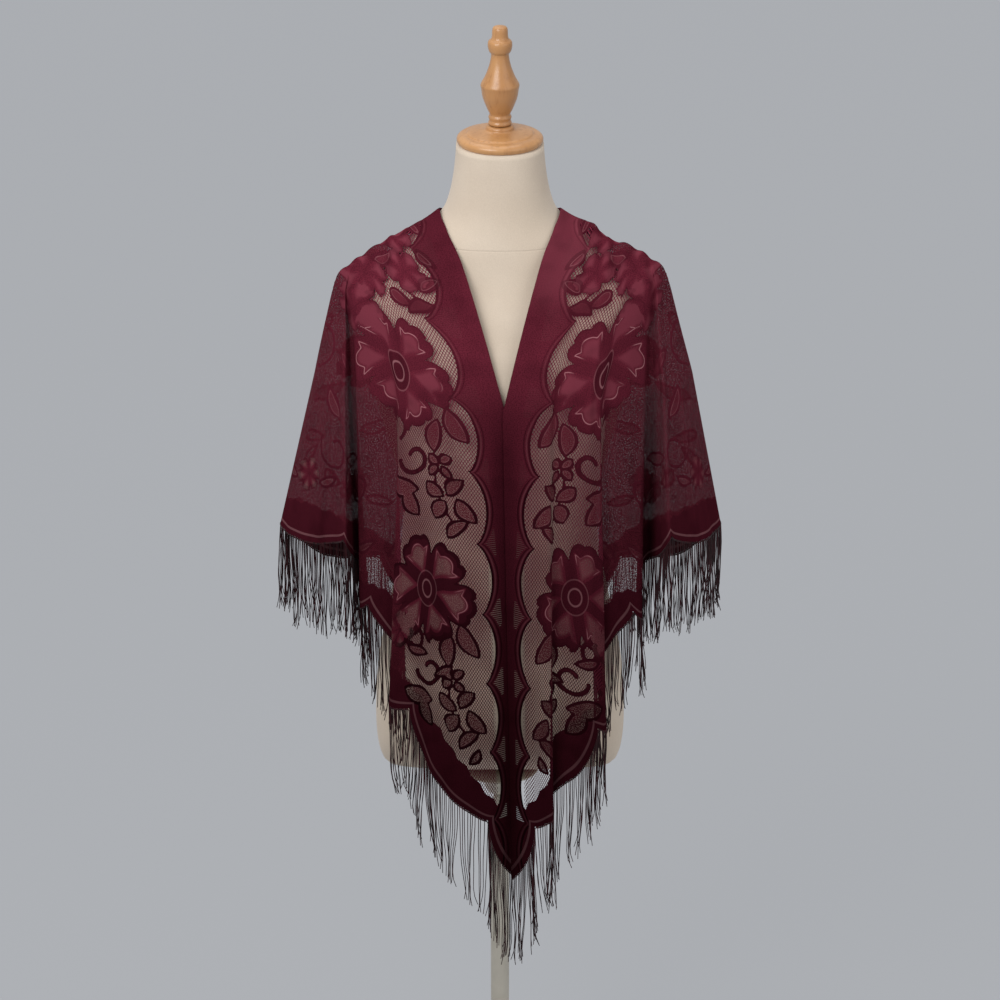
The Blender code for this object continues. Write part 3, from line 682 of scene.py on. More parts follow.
class Drape:
    """One side of the draped cloth, as ribs with evenly spaced points, ready to look up. Each
    rib goes on to the straight fringed edge, and the scallops are cut into the flat cloth."""

    RIBS = 980
    UPPER_POINTS = 48
    LOWER_POINTS = 30
    ALONG = 200

    def __init__(self, sign, folds):
        self.sign = sign
        self.runs = np.linspace(0, LEG, self.RIBS)
        knots = column(folds, FOLD_COLUMNS, "run")
        start, chest_x, chest_y, hem_x, hem_y, let_down = (
            rounded_through(knots, column(folds, FOLD_COLUMNS, name), self.runs)
            for name in FOLD_COLUMNS[2:]
        )
        top, self.top_flat = top_line(start)
        self.ridge = np.clip(start, 0, 1)
        self.foot_flat = foot_of(self.runs)
        across = self.foot_flat - self.top_flat
        length = np.linalg.norm(across, axis=1)
        cut = hem_cut(self.runs, across / length[:, None])
        ribs = self.hung(top, chest_x, chest_y, hem_x, hem_y, length - cut + let_down, cut)
        self.points = self.evenly(ribs) * (sign, 1, 1)
        self.points += self.creases()
        for share, rise, reach in RUCKS[sign]:
            middle = (1 - share) * np.array(NECK_SIDE) + share * np.array(SHOULDER)
            away = np.linalg.norm(self.points - middle * (sign, 1, 1), axis=2)
            self.points[..., 2] += rise * np.exp(-((away / reach) ** 2))

    def hung(self, top, chest_x, chest_y, hem_x, hem_y, rib_length, cut):
        """Ribs as rows of points: from the top to the chest each way is a mix of a sine and 1
        less a cosine of the turn, and below it the rib is straight and uses up its length."""
        turn = np.linspace(0, 1, self.UPPER_POINTS + 1) ** TURN_SPREAD * math.pi / 2
        drop = 1 - np.cos(turn)
        edge = np.clip(1 - self.runs / EDGE_SPREAD, 0, 1)[:, None]
        over_shoulder = OVER_SHOULDER + (EDGE_SHOULDER - OVER_SHOULDER) * edge
        over_side = OVER_SIDE + (EDGE_SIDE - OVER_SIDE) * edge
        forward = over_shoulder * np.sin(turn) + (1 - over_shoulder) * drop
        sideways = over_side * np.sin(turn) + (1 - over_side) * drop
        ways = np.stack([sideways, forward, drop * np.ones_like(sideways)], axis=2)
        chest = np.stack([chest_x, chest_y, np.full_like(chest_x, CHEST_Z)], axis=1)
        upper = clear_of_form(top[:, None, :] + (chest - top)[:, None, :] * ways)
        hanging = rib_length - np.linalg.norm(np.diff(upper, axis=1), axis=2).sum(axis=1)
        chest = upper[:, -1]
        side_step = np.stack([hem_x - chest[:, 0], hem_y - chest[:, 1]], axis=1)
        fall = np.sqrt(hanging**2 - (side_step**2).sum(axis=1))
        hem = np.stack([hem_x, hem_y, CHEST_Z - fall], axis=1)
        share = np.linspace(0, 1, self.LOWER_POINTS + 1)[1:] * (1 + cut / hanging)[:, None]
        lower = clear_of_form(chest[:, None, :] + (hem - chest)[:, None, :] * share[:, :, None])
        return np.concatenate([upper, lower], axis=1)

    def evenly(self, ribs):
        """The ribs again, with points at even steps of their length."""
        steps = np.linalg.norm(np.diff(ribs, axis=1), axis=2)
        reached = np.concatenate([np.zeros((self.RIBS, 1)), np.cumsum(steps, axis=1)], axis=1)
        reached /= reached[:, -1:]
        even = np.linspace(0, 1, self.ALONG)
        return np.stack(
            [
                np.stack([np.interp(even, reached[i], ribs[i, :, k]) for k in range(3)], axis=1)
                for i in range(self.RIBS)
            ]
        )

    def creases(self):
        """Small soft folds: each is a bell curve across the ribs, faded in and out along them,
        and moves the cloth along its own facing."""
        along = np.gradient(self.points, axis=0)
        down = np.gradient(self.points, axis=1)
        facing = np.cross(along, down)
        facing /= np.maximum(np.linalg.norm(facing, axis=2, keepdims=True), TINY)
        outward = np.sign((facing[..., :2] * self.points[..., :2]).sum(axis=2, keepdims=True))
        facing *= np.where(outward == 0, 1, outward)
        t = np.linspace(0, 1, self.ALONG)[None, :]
        height = np.zeros((self.RIBS, self.ALONG))
        for run, width, first, last, size, lean in CREASES[self.sign]:
            middle = run + lean * (t - first)
            shape = np.exp(-(((self.runs[:, None] - middle) / width) ** 2))
            fade = np.clip((t - first) / CREASE_FADE, 0, 1) * np.clip((last - t) / CREASE_FADE, 0, 1)
            height += size * shape * fade * fade * (3 - 2 * fade)
        ends = np.clip(self.ridge * PUCKER_ENDS[0], 0, 1)
        ends = ends * np.clip((1 - self.ridge) * PUCKER_ENDS[1], 0, 1)
        gathers = np.sin(self.ridge * PUCKER_WAVES[0] + PUCKER_STARTS[0] * self.sign)
        gathers += SECOND_PUCKER * np.sin(self.ridge * PUCKER_WAVES[1] + PUCKER_STARTS[1])
        height += PUCKER * (ends * gathers)[:, None] * np.exp(-((t / PUCKER_REACH) ** 2))
        return facing * height[..., None]

    def between(self, run):
        """Index of the rib before each run, and the share of the way to the next."""
        at = np.clip(run / self.runs[1], 0, self.RIBS - LOOK_UP_END)
        index = at.astype(int)
        return index, at - index

    def rib_ends(self, run):
        """Flat top and foot of the ribs at these runs."""
        index, share = self.between(run)
        share = share[:, None]
        top = self.top_flat[index] * (1 - share) + self.top_flat[index + 1] * share
        foot = self.foot_flat[index] * (1 - share) + self.foot_flat[index + 1] * share
        return top, foot

    def rib_of(self, flat):
        """Run of the rib that passes through each flat point, and how far along it the point
        lies. Halving: a point is on the near side of a rib when the cross product of the rib
        and the way to the point is over nothing."""
        low, high = np.zeros(len(flat)), np.full(len(flat), LEG)
        for _ in range(HALVINGS):
            middle = (low + high) / 2
            top, foot = self.rib_ends(middle)
            rib, way = foot - top, flat - top
            near = rib[:, 0] * way[:, 1] - rib[:, 1] * way[:, 0] > 0
            low, high = np.where(near, middle, low), np.where(near, high, middle)
        top, foot = self.rib_ends(low)
        rib = foot - top
        share = ((flat - top) * rib).sum(axis=1) / (rib**2).sum(axis=1)
        return low, share

    def place(self, run, share):
        """Place on the form of cloth points given by rib and share."""
        index, part = self.between(run)
        at = np.clip(share, 0, 1) * (self.ALONG - LOOK_UP_END)
        row = at.astype(int)
        part, rest = part[:, None], (at - row)[:, None]
        p = self.points
        here = p[index, row] * (1 - part) + p[index + 1, row] * part
        below = p[index, row + 1] * (1 - part) + p[index + 1, row + 1] * part
        return here * (1 - rest) + below * rest

    def facing(self, run, share):
        """Outward unit vector of the cloth at the same points: across two small steps, one
        along the hem and one down the rib."""
        after, before = (np.clip(run + step, 0, LEG) for step in (FACING_STEP, -FACING_STEP))
        along = self.place(after, share) - self.place(before, share)
        above = np.maximum(share - FACING_STEP, 0)
        down = self.place(run, share + FACING_STEP) - self.place(run, above)
        normal = np.cross(along, down) * -self.sign
        return normal / np.maximum(np.linalg.norm(normal, axis=1, keepdims=True), TINY)


DRAPES = {
    "right": Drape(-1, RIGHT_FRONT_FOLDS + RIGHT_BACK_FOLDS + (BACK_POINT,)),
    "left": Drape(1, LEFT_FRONT_FOLDS + LEFT_BACK_FOLDS + (BACK_POINT,)),
}
for side, drape in DRAPES.items():
    low, high = drape.points.min(axis=(0, 1)), drape.points.max(axis=(0, 1))
    print(side, "cloth from", low.round(3), "to", high.round(3))

# %% [markdown]
# ## Lace design
#
# A warp-knitting machine makes this lace: open net, dense flowers and leaves with a corded
# outline, and a speckled ground that is nearly closed. The design is written as distances in the
# flat triangle, so that an edge can be cut into the mesh, or drawn by the material, at any
# sharpness. Each distance is under nothing inside its motif.


# %% Motif shapes
FAR = 0.05  # stands for no contour near
EYED = 0.04  # flowers under this radius have no eye, and painted shade in the creases between petals, no hearts
FIELDS = ("motif", "arc", "side", "cell", "eye")


def own_axes(s, v, centre, turn):
    """Flat places in the axes of a motif."""
    across, down = s - centre[0], v - centre[1]
    cosine, sine = math.cos(turn), math.sin(turn)
    return across * cosine + down * sine, down * cosine - across * sine


# %% [markdown]
# A flower is drawn in polar form. Its sizes are shares of the radius, so a floret of two
# centimetres and a rose of fourteen come from the same lines.

# %% Flower
FLOWER_OVAL = 1.16  # how much shorter it is across the cloth
FIRST_PETAL = 0.25  # share of a petal by which the first is turned
PETAL_UNEVEN, UNEVEN_STEP = 0.035, 2.4  # petals differ in length by a sine of their number
NOTCH, NOTCH_POWER = 0.27, 4  # depth between petals
LOBE, LOBE_POWER = 0.075, 0.6  # three lobes on each petal
HEART_FOOT = 0.27  # from the flower's middle to where the hearts start
HEART_REACH, HEART_LOBE, HEART_LOBES = 0.43, 0.12, 4.4
HEART_SPREAD = 0.54  # half the angle of a heart, in radians
HEART_SOFT = 0.02  # rounds the notches between its lobes
EYE_SIZE, EYE_OVAL = 0.20, 1.5
CREASE_HALF = 0.0028  # half the width of the painted shade in the creases of a small flower
NO_HEART = -0.03


def flower(x, y, radius, petals):
    """A flower of broad petals round an oval eye. The rim is the radius less a round notch
    between petals, with three round lobes on each. The heart of a petal is a lobed sector: its
    arc is the distance from a point near the eye less a lobed reach, and its side is the
    distance from the sector's straight sides."""
    reach, angle = np.hypot(x, y * FLOWER_OVAL), np.arctan2(y * FLOWER_OVAL, x)
    turned = angle * petals / (2 * math.pi) + FIRST_PETAL
    petal = turned % 1.0 - 0.5
    own_length = PETAL_UNEVEN * np.sin(np.floor(turned) * UNEVEN_STEP + petals)
    lobes = 1 - np.abs(np.cos(3 * math.pi * petal)) ** LOBE_POWER
    notch = NOTCH * np.abs(2 * petal) ** NOTCH_POWER
    rim = radius * (1 + own_length - notch - LOBE * lobes)
    # A small flower has no eye and no heart; its side marks the painted shade in the creases between
    # its petals.
    if radius < EYED:
        arc = np.full(len(x), NO_HEART)
        side = CREASE_HALF - reach * np.sin((0.5 - np.abs(petal)) * 2 * math.pi / petals)
        eye = np.hypot(x / EYE_OVAL, y) + FAR
    else:
        along = reach * np.cos(petal * 2 * math.pi / petals) - HEART_FOOT * radius
        across = reach * np.sin(np.abs(petal) * 2 * math.pi / petals)
        from_foot, spread = np.hypot(along, across), np.arctan2(across, along)
        lobed = HEART_LOBE * np.sqrt(np.cos(HEART_LOBES * spread) ** 2 + HEART_SOFT)
        arc = from_foot - radius * (HEART_REACH + lobed + own_length)
        side = from_foot * np.sin(np.minimum(spread - HEART_SPREAD, math.pi / 2))
        eye = np.hypot(x / EYE_OVAL, y) - EYE_SIZE * radius
    beyond = reach > rim
    lines = {"arc": np.where(beyond, FAR, arc), "side": np.where(beyond, FAR, side)}
    return {"motif": reach - rim, "eye": eye, **lines}


# %% Leaf, curl and stem
LEAF_BEND = 0.10
LEAF_POWER = 2.3  # more makes a blunter leaf
LEAF_CORD = 0.0037
CURL_TURN = 1.75 * math.pi
CURL_STEPS = 40
CURL_SHRINK = 0.66
CURL_OFF = 0.2  # from the turn's middle to the motif's middle
STEM_BEND = 0.12


def leaf(x, y, length, width):
    """A pointed leaf with a bent spine: half width falls from the middle to both tips as 1
    less a power of x. Its cell is the thin cloth inside its cord."""
    y = y - LEAF_BEND * length * (1 - (2 * x / length) ** 2)
    share = np.clip(np.abs(x) / (length / 2), 0, 1)
    half = width / 2 * (1 - share**LEAF_POWER)
    outer = np.hypot(np.maximum(np.abs(x) - length / 2, 0), np.maximum(np.abs(y) - half, 0))
    outer = np.where(outer > 0, outer, np.abs(y) - half)
    return {"motif": outer, "cell": outer + LEAF_CORD}


def curl(x, y, size, width):
    """A curled stem: its radius shrinks from size to a third of it in nearly one turn. The
    distance is that from the nearest of its steps."""
    turns = np.linspace(0, CURL_TURN, CURL_STEPS)
    radius = size * (1 - CURL_SHRINK * turns / turns[-1])
    path_x, path_y = radius * np.cos(turns) - size * CURL_OFF, radius * np.sin(turns)
    away = np.hypot(x[:, None] - path_x[None], y[:, None] - path_y[None]).min(axis=1)
    return {"motif": away - width / 2}


def stem(x, y, length, width):
    """A thin stem: a straight run between two ends, bent as a flat arch."""
    bend = STEM_BEND * length * (1 - (2 * x / length) ** 2)
    return {"motif": np.hypot(np.maximum(np.abs(x) - length / 2, 0), y - bend) - width / 2}


SHAPES = {"flower": flower, "leaf": leaf, "curl": curl, "stem": stem}
print("motif shapes", list(SHAPES))

# %% [markdown]
# ## Where the motifs lie
#
# Large flowers stand at even steps inside the front band, with a sprig of leaves and small
# florets from one to the next. Along the fringed edge the design follows the scallops. The
# ground has quieter curls, leaves and flowers. Each row gives a kind, a place and two sizes.

# %% Motif tables
BAND_ALONG = (0.0, 0.17, 0.35, 0.44, 0.53, 0.615, 0.70, 0.79, 0.975)
BAND_EDGES = (0.026, 0.027, 0.029, 0.031, 0.035, 0.047, 0.053, 0.050, 0.046)  # at the cusps
BAND_BULGES = (0.013, 0.013, 0.014, 0.014, 0.014, 0.019, 0.021, 0.021, 0.020)  # less between
CUSP_FIRST = 0.086
CUSP_STEP = 0.0890
NET_ALONG = (0.0, 0.66, 0.74, 0.78, 0.82, 0.85, 0.87, 0.90, 0.975)
NET_DEPTHS = (0.126, 0.126, 0.118, 0.080, 0.036, 0.004, 0.004, 0.060, 0.120)  # along s
HEM_BAND = 0.047

ROSES = ((0.376, 0.094), (0.644, 0.101), (0.975, 0.098))
ROSE = (0.071, 6)
SPRIG = (
    # kind, step towards the tip, depth, size, size, turn
    ("leaf", 0.058, 0.042, 0.048, 0.023, 0.45),
    ("leaf", 0.076, 0.066, 0.044, 0.022, -0.15),
    ("curl", 0.104, 0.102, 0.022, 0.0062, 1.6),
    ("leaf", 0.104, 0.071, 0.019, 0.0145, 0.785),
    ("leaf", 0.104, 0.057, 0.019, 0.0145, -0.785),
    ("leaf", 0.119, 0.072, 0.019, 0.0145, -0.785),
    ("leaf", 0.118, 0.057, 0.018, 0.0140, 0.785),
    ("stem", 0.154, 0.058, 0.070, 0.0032, 0.36),
    ("leaf", 0.136, 0.049, 0.031, 0.0190, -0.7),
    ("leaf", 0.141, 0.073, 0.029, 0.0200, 0.9),
    ("leaf", 0.162, 0.038, 0.036, 0.0210, 0.6),
    ("leaf", 0.167, 0.067, 0.029, 0.0210, -0.5),
    ("leaf", 0.188, 0.049, 0.036, 0.0180, -0.8),
    ("curl", 0.064, 0.122, 0.018, 0.0056, 3.6),
    ("leaf", 0.132, 0.118, 0.054, 0.025, 1.1),
    ("leaf", 0.156, 0.106, 0.046, 0.023, 0.4),
)
NEAR_TIP = (("leaf", 0.168, 0.044, 0.028, 0.013, 2.6),)
NEAR_SHOULDER = (
    ("flower", 0.764, 0.058, 0.027, 5, 0.3),
    ("leaf", 0.750, 0.035, 0.030, 0.017, -0.9),
    ("leaf", 0.731, 0.070, 0.028, 0.019, 0.9),
    ("leaf", 0.720, 0.050, 0.034, 0.018, -1.1),
    ("stem", 0.736, 0.053, 0.032, 0.0024, 0.8),
    ("leaf", 0.786, 0.030, 0.030, 0.014, 0.5),
    ("leaf", 0.776, 0.084, 0.034, 0.016, 2.2),
    ("flower", 0.812, 0.066, 0.026, 5, 0.4),
    ("flower", 0.752, 0.108, 0.030, 6, 0.6),
    ("leaf", 0.832, 0.034, 0.032, 0.014, 0.3),
    ("flower", 0.856, 0.080, 0.028, 6, 0.8),
    ("leaf", 0.868, 0.046, 0.036, 0.015, 2.7),
    ("leaf", 0.896, 0.094, 0.036, 0.016, 0.6),
    ("leaf", 0.900, 0.048, 0.034, 0.015, 2.2),
    ("leaf", 0.790, 0.116, 0.036, 0.016, 0.3),
    ("flower", 0.715, 0.128, 0.032, 6, 1.1),
)
GROUND = (
    # kind, distance along the long edge from the front tip, depth, size, size, turn
    ("curl", 0.603, 0.289, 0.030, 0.0040, 0.4),
    ("curl", 0.712, 0.220, 0.034, 0.0042, 2.2),
    ("curl", 0.520, 0.212, 0.026, 0.0040, 1.0),
    ("leaf", 0.560, 0.255, 0.050, 0.020, 0.9),
    ("leaf", 0.640, 0.245, 0.046, 0.018, -0.4),
    ("leaf", 0.665, 0.190, 0.044, 0.018, 0.2),
    ("flower", 0.775, 0.292, 0.046, 6, 0.6),
    ("leaf", 0.720, 0.312, 0.050, 0.020, 0.2),
    ("leaf", 0.828, 0.330, 0.048, 0.019, 0.8),
    ("leaf", 0.812, 0.235, 0.046, 0.018, -0.7),
    ("curl", 0.870, 0.255, 0.030, 0.0042, 0.0),
    ("flower", 0.975, 0.330, 0.060, 7, 0.2),
    ("leaf", 0.915, 0.375, 0.052, 0.021, 0.6),
    ("leaf", 0.925, 0.290, 0.050, 0.020, -0.7),
    ("curl", 0.920, 0.205, 0.028, 0.0042, 1.2),
    ("flower", 0.890, 0.470, 0.044, 6, 0.9),
    ("leaf", 0.840, 0.430, 0.048, 0.020, 0.3),
    ("leaf", 0.945, 0.440, 0.048, 0.019, -0.4),
    ("leaf", 0.780, 0.385, 0.044, 0.018, -0.2),
    ("flower", 0.975, 0.590, 0.052, 6, 0.5),
    ("leaf", 0.925, 0.550, 0.050, 0.020, 0.9),
    ("curl", 0.975, 0.500, 0.026, 0.0042, 0.3),
    ("leaf", 0.700, 0.365, 0.040, 0.016, 0.7),
)
ALONG_HEM = (
    # kind, share of a scallop's width, distance from the straight fringed edge, sizes, turn
    ("flower", 0.50, 0.088, 0.026, 6, 0.0),
    ("leaf", 0.27, 0.090, 0.038, 0.015, 0.45),
    ("leaf", 0.73, 0.090, 0.038, 0.015, -0.45),
    ("leaf", 0.02, 0.104, 0.034, 0.014, 1.57),
)
HEM_OPENINGS = (
    ("leaf", 0.16, 0.062, 0.032, 0.0105, 0.5),
    ("leaf", 0.84, 0.062, 0.032, 0.0105, -0.5),
)
OPEN_SCALLOPS = (1,)
SCALLOPS = 7
BEYOND_MIDDLE = 0.03  # rows a little past the middle of the back still show on this half


def motif_rows():
    """All motifs as kind, place in the flat triangle, sizes and turn."""
    rows = [("flower", s, v, *ROSE, 0.0) for s, v in ROSES]
    for s, _v in ROSES[:2]:
        rows += [(kind, s - step, *rest) for kind, step, *rest in SPRIG]
    return rows + list(NEAR_TIP) + list(NEAR_SHOULDER) + list(GROUND)


def hem_rows(rows, scallops):
    """Rows that follow the scallops, turned into places in the flat triangle."""
    placed = []
    for scallop in scallops:
        for kind, share, away, *sizes, turn in rows:
            run = SCALLOP_FIRST + (scallop + share) * SCALLOP_WIDTH
            s = (HALF_EDGE * run + POINT_DROP * away) / LEG
            v = (POINT_DROP * run - HALF_EDGE * away) / LEG
            if v > 0 and s < HALF_EDGE + BEYOND_MIDDLE:
                placed.append((kind, s, v, *sizes, turn + math.atan2(POINT_DROP, HALF_EDGE)))
    return placed


# %% Distances to motifs
NEAR_SHARE, NEAR_MARGIN = 1.3, 0.02  # how far from a motif it is worked out


def drawn(rows, s, v):
    """Distances to the nearest motif and to the lines inside it at flat places. Each motif is
    worked out only near itself."""
    fields = {name: np.full(len(s), FAR) for name in FIELDS}
    for kind, at_s, at_v, first, second, turn in rows:
        reach = NEAR_SHARE * first + NEAR_MARGIN
        for mirrored_s in (s, 2 * HALF_EDGE - s):
            near = np.flatnonzero((abs(mirrored_s - at_s) < reach) & (abs(v - at_v) < reach))
            if len(near) == 0:
                continue
            x, y = own_axes(mirrored_s[near], v[near], (at_s, at_v), turn)
            for name, values in SHAPES[kind](x, y, first, second).items():
                fields[name][near] = np.minimum(fields[name][near], values)
    return fields


# %% All motifs
MOTIFS = motif_rows() + hem_rows(ALONG_HEM, range(1, SCALLOPS))
OPENINGS = hem_rows(HEM_OPENINGS, OPEN_SCALLOPS)
print("motifs", len(MOTIFS), "openings", len(OPENINGS))

# %% [markdown]
# ## Zones of the lace
#
# Net fills the strip inside the front band. Towards the front tip it stops at the close band of
# the scalloped hem, in small steps as the machine makes them. The rest is the speckled ground.


# %% Zones
BITE_POWER = 0.6  # under 1 makes the bites of the band rounder
HEM_STEP, HEM_STEP_LENGTH = 0.004, 0.026  # the steps at the inner edge of the hem's band
NET_WAVE, NET_WAVE_LENGTH, NET_WAVE_START = 0.009, 0.1335, 0.6  # inner edge of the net
NET_RIPPLE, NET_RIPPLES = 0.003, 150.0
LADDER_OFF_EDGE = 0.0080  # close cloth between the openwork and the band's edge
LADDER_HALF = 0.018  # half the width of the fan at each cusp
LADDER_FIRST = (0.007, 0.010, 0.35, 0.25)  # depth where it starts, more depth, from s, over s
LADDER_END = 0.085  # no openwork nearer to the front tip


def band_depth(s):
    """Depth of the close band along the long edge: full at its cusps, and a round bite less
    between them, as a power of a sine."""
    share = ((s - CUSP_FIRST) / CUSP_STEP) % 1.0
    bulge = np.interp(s, BAND_ALONG, BAND_BULGES) * np.sin(share * math.pi) ** BITE_POWER
    return np.interp(s, BAND_ALONG, BAND_EDGES) - bulge


def openwork(s, v, band):
    """Distance inside the fans of openwork at the band's cusps: the least of the distances
    from the band's edge, from the first rung and from the fan's sides."""
    cusp = np.abs((s - CUSP_FIRST + CUSP_STEP / 2) % CUSP_STEP - CUSP_STEP / 2)
    least, more, start, spread = LADDER_FIRST
    first_rung = least + more * np.clip((s - start) / spread, 0, 1)
    fan = np.minimum(v - first_rung, LADDER_HALF - cusp)
    return np.minimum(np.minimum(-band - LADDER_OFF_EDGE, fan), s - LADDER_END)


def zones(u, v):
    """Distances over the flat triangle that the mesh and the material use. The net is where
    all of the close zones are far: the least of its distances to them."""
    s, run, from_leg = by_leg(u, v)
    band = v - band_depth(s)
    step = HEM_STEP * np.abs(((run / HEM_STEP_LENGTH) % 1.0) - 0.5) * 2
    hem_band = from_leg - HEM_BAND - step
    wave = NET_WAVE * np.sin(s * 2 * math.pi / NET_WAVE_LENGTH + NET_WAVE_START)
    wave += NET_RIPPLE * np.abs(np.sin(s * NET_RIPPLES))
    far = np.interp(s, NET_ALONG, NET_DEPTHS) + wave - v
    lines = drawn(MOTIFS, s, v)
    motif = lines["motif"]
    openings = drawn(OPENINGS, s, v)["motif"]
    net = np.minimum(np.minimum(band, far), np.minimum(hem_band, motif))
    net = np.maximum(net, np.minimum(-openings, motif))
    return {
        "flat": np.stack([s, v, np.zeros_like(s)], axis=1),
        **lines,
        "ladder": openwork(s, v, band),
        "band": band,
        "far": far,
        "hem_band": hem_band,
        "net": net,
    }


print("band depth at the cusps", BAND_EDGES)

# %% [markdown]
# ## Cutting triangles along a line
#
# The open net and the scalloped hem need clean curved edges. A triangle that a zero line
# crosses is cut there, and neighbours share the new points.


# %% Clip
def clipped(triangles, numbers, value):
    """Triangles kept where the named number is over nothing. A new point on an edge lies where
    the straight line between the two levels is zero, and takes its numbers from there."""
    level = numbers[value]
    inside = level[triangles] > 0
    count = inside.sum(axis=1)
    mixed = (count == 1) | (count == 2)
    cut, cut_inside = triangles[mixed], inside[mixed]
    odd = np.where(cut_inside.sum(axis=1) == 1, cut_inside.argmax(axis=1), (~cut_inside).argmax(axis=1))
    order = (odd[:, None] + np.arange(3)) % 3
    cut = np.take_along_axis(cut, order, axis=1)
    odd_inside = np.take_along_axis(cut_inside, order, axis=1)[:, 0]
    ends = np.concatenate([cut[:, [0, 1]], cut[:, [0, 2]]])
    ends.sort(axis=1)
    ends, which = np.unique(ends, axis=0, return_inverse=True)
    which = which.ravel() + len(level)
    share = level[ends[:, 0]] / (level[ends[:, 0]] - level[ends[:, 1]])
    made = {}
    for name, values in numbers.items():
        part = share if values.ndim == 1 else share[:, None]
        fresh = values[ends[:, 0]] * (1 - part) + values[ends[:, 1]] * part
        made[name] = np.concatenate([values, fresh])
    first, second = which[: len(cut)], which[len(cut) :]
    tips = np.stack([cut[:, 0], first, second], axis=1)[odd_inside]
    a, b = first[~odd_inside], second[~odd_inside]
    one, two = cut[~odd_inside, 1], cut[~odd_inside, 2]
    kept = [triangles[count == 3], tips, np.stack([a, one, two], 1), np.stack([a, two, b], 1)]
    return np.concatenate(kept), made


def used_only(triangles, numbers):
    """The same mesh with only the points that its triangles use."""
    used, which = np.unique(triangles, return_inverse=True)
    return which.reshape(triangles.shape), {k: values[used] for k, values in numbers.items()}


print("clip ready")

# %% [markdown]
# ## Cloth mesh
#
# A grid of small triangles covers the whole flat shawl. The hem is cut first, then the net
# zones. What is left is laid on the drape. The fronts and the back are parted at the line down
# the arm, and share their points there.

# %% Lace cloth
FRONT_STEP = 0.00185  # size of the triangles of the fronts
BACK_STEP = 0.00240
GRID_MARGIN = 0.006  # triangles this far outside the straight fringed edge are kept for the cut


def flat_grid(step):
    """Points and triangles of a grid over the whole flat shawl."""
    columns, rows = 2 * round(HALF_EDGE / step), round(POINT_DROP / step)
    u, v = np.meshgrid(
        np.linspace(-HALF_EDGE, HALF_EDGE, columns + 1), np.linspace(0, POINT_DROP, rows + 1)
    )
    u, v = u.ravel(), v.ravel()
    quads = grid_quads(rows + 1, columns + 1)
    near = by_leg(u, v)[2] > -GRID_MARGIN
    quads = quads[near[quads].any(axis=1)]
    lean = (u[quads].mean(axis=1) > 0)[:, None]
    one = np.where(lean, quads[:, [0, 1, 2]], quads[:, [0, 1, 3]])
    two = np.where(lean, quads[:, [0, 2, 3]], quads[:, [1, 2, 3]])
    return used_only(np.concatenate([one, two]), {"u": u, "v": v})


def on_drape(u, v):
    """Rib and share of the rib of flat places on both sides."""
    run, share = np.zeros(len(u)), np.zeros(len(u))
    for drape in DRAPES.values():
        mine = u * drape.sign >= 0
        run[mine], share[mine] = drape.rib_of(np.stack([abs(u[mine]), v[mine]], axis=1))
    return run, share


def laid(u, run, share):
    """Places of the cloth's points on the form."""
    points = np.zeros((len(u), 3))
    for drape in DRAPES.values():
        mine = u * drape.sign >= 0
        points[mine] = drape.place(run[mine], share[mine])
    return points


def cloth_mesh(step):
    """Triangles and numbers of the dense cloth, with the hem and the net zones cut. A point's
    normal is the sum of those of its triangles, before the net is cut."""
    triangles, numbers = flat_grid(step)
    numbers["hem"] = inside_hem(numbers["u"], numbers["v"])
    triangles, numbers = used_only(*clipped(triangles, numbers, "hem"))
    numbers["run"], share = on_drape(numbers["u"], numbers["v"])
    numbers["points"] = laid(numbers["u"], numbers["run"], share)
    corners = numbers["points"][triangles]
    out = np.cross(corners[:, 1] - corners[:, 0], corners[:, 2] - corners[:, 0])
    normals = np.zeros_like(numbers["points"])
    for corner in range(3):
        np.add.at(normals, triangles[:, corner], out)
    numbers["normals"] = normals / np.maximum(np.linalg.norm(normals, axis=1)[:, None], TINY**2)
    print("cloth triangles", len(triangles), "area", round(np.linalg.norm(out, axis=1).sum() / 2, 4))
    numbers |= zones(numbers["u"], numbers["v"])
    numbers["cloth"] = -numbers["net"]
    triangles, numbers = used_only(*clipped(triangles, numbers, "cloth"))
    print("after the net is cut", len(triangles))
    return triangles, numbers


FRONT_MESH = cloth_mesh(FRONT_STEP)
BACK_MESH = cloth_mesh(BACK_STEP)

# %% [markdown]
# ## Open net
#
# Each mesh of the net is a small six-sided ring of thread, knitted in rows. The rings lie a
# third of a millimetre behind the dense cloth and reach a little under its edge, so that no
# motif floats. Real rings give true holes at every distance, where a drawn net would blur.

# %% Net rings
MESH_PITCH = 0.0031
THIN_THREAD = 0.00020  # half the width of the slanting sides of a mesh
THICK_THREAD = 0.00060  # and of the sides that run with the long edge
UNDER_EDGE = 0.0016
BEHIND = 0.0003
HEM_MARGIN = 0.004
LEG_MARGIN = 0.012
FIRST_DEPTH = 0.018  # no ring nearer to the long edge
OFF_MOTIF = 0.004  # on the net no cord or heart is drawn
RING_FACES = 12


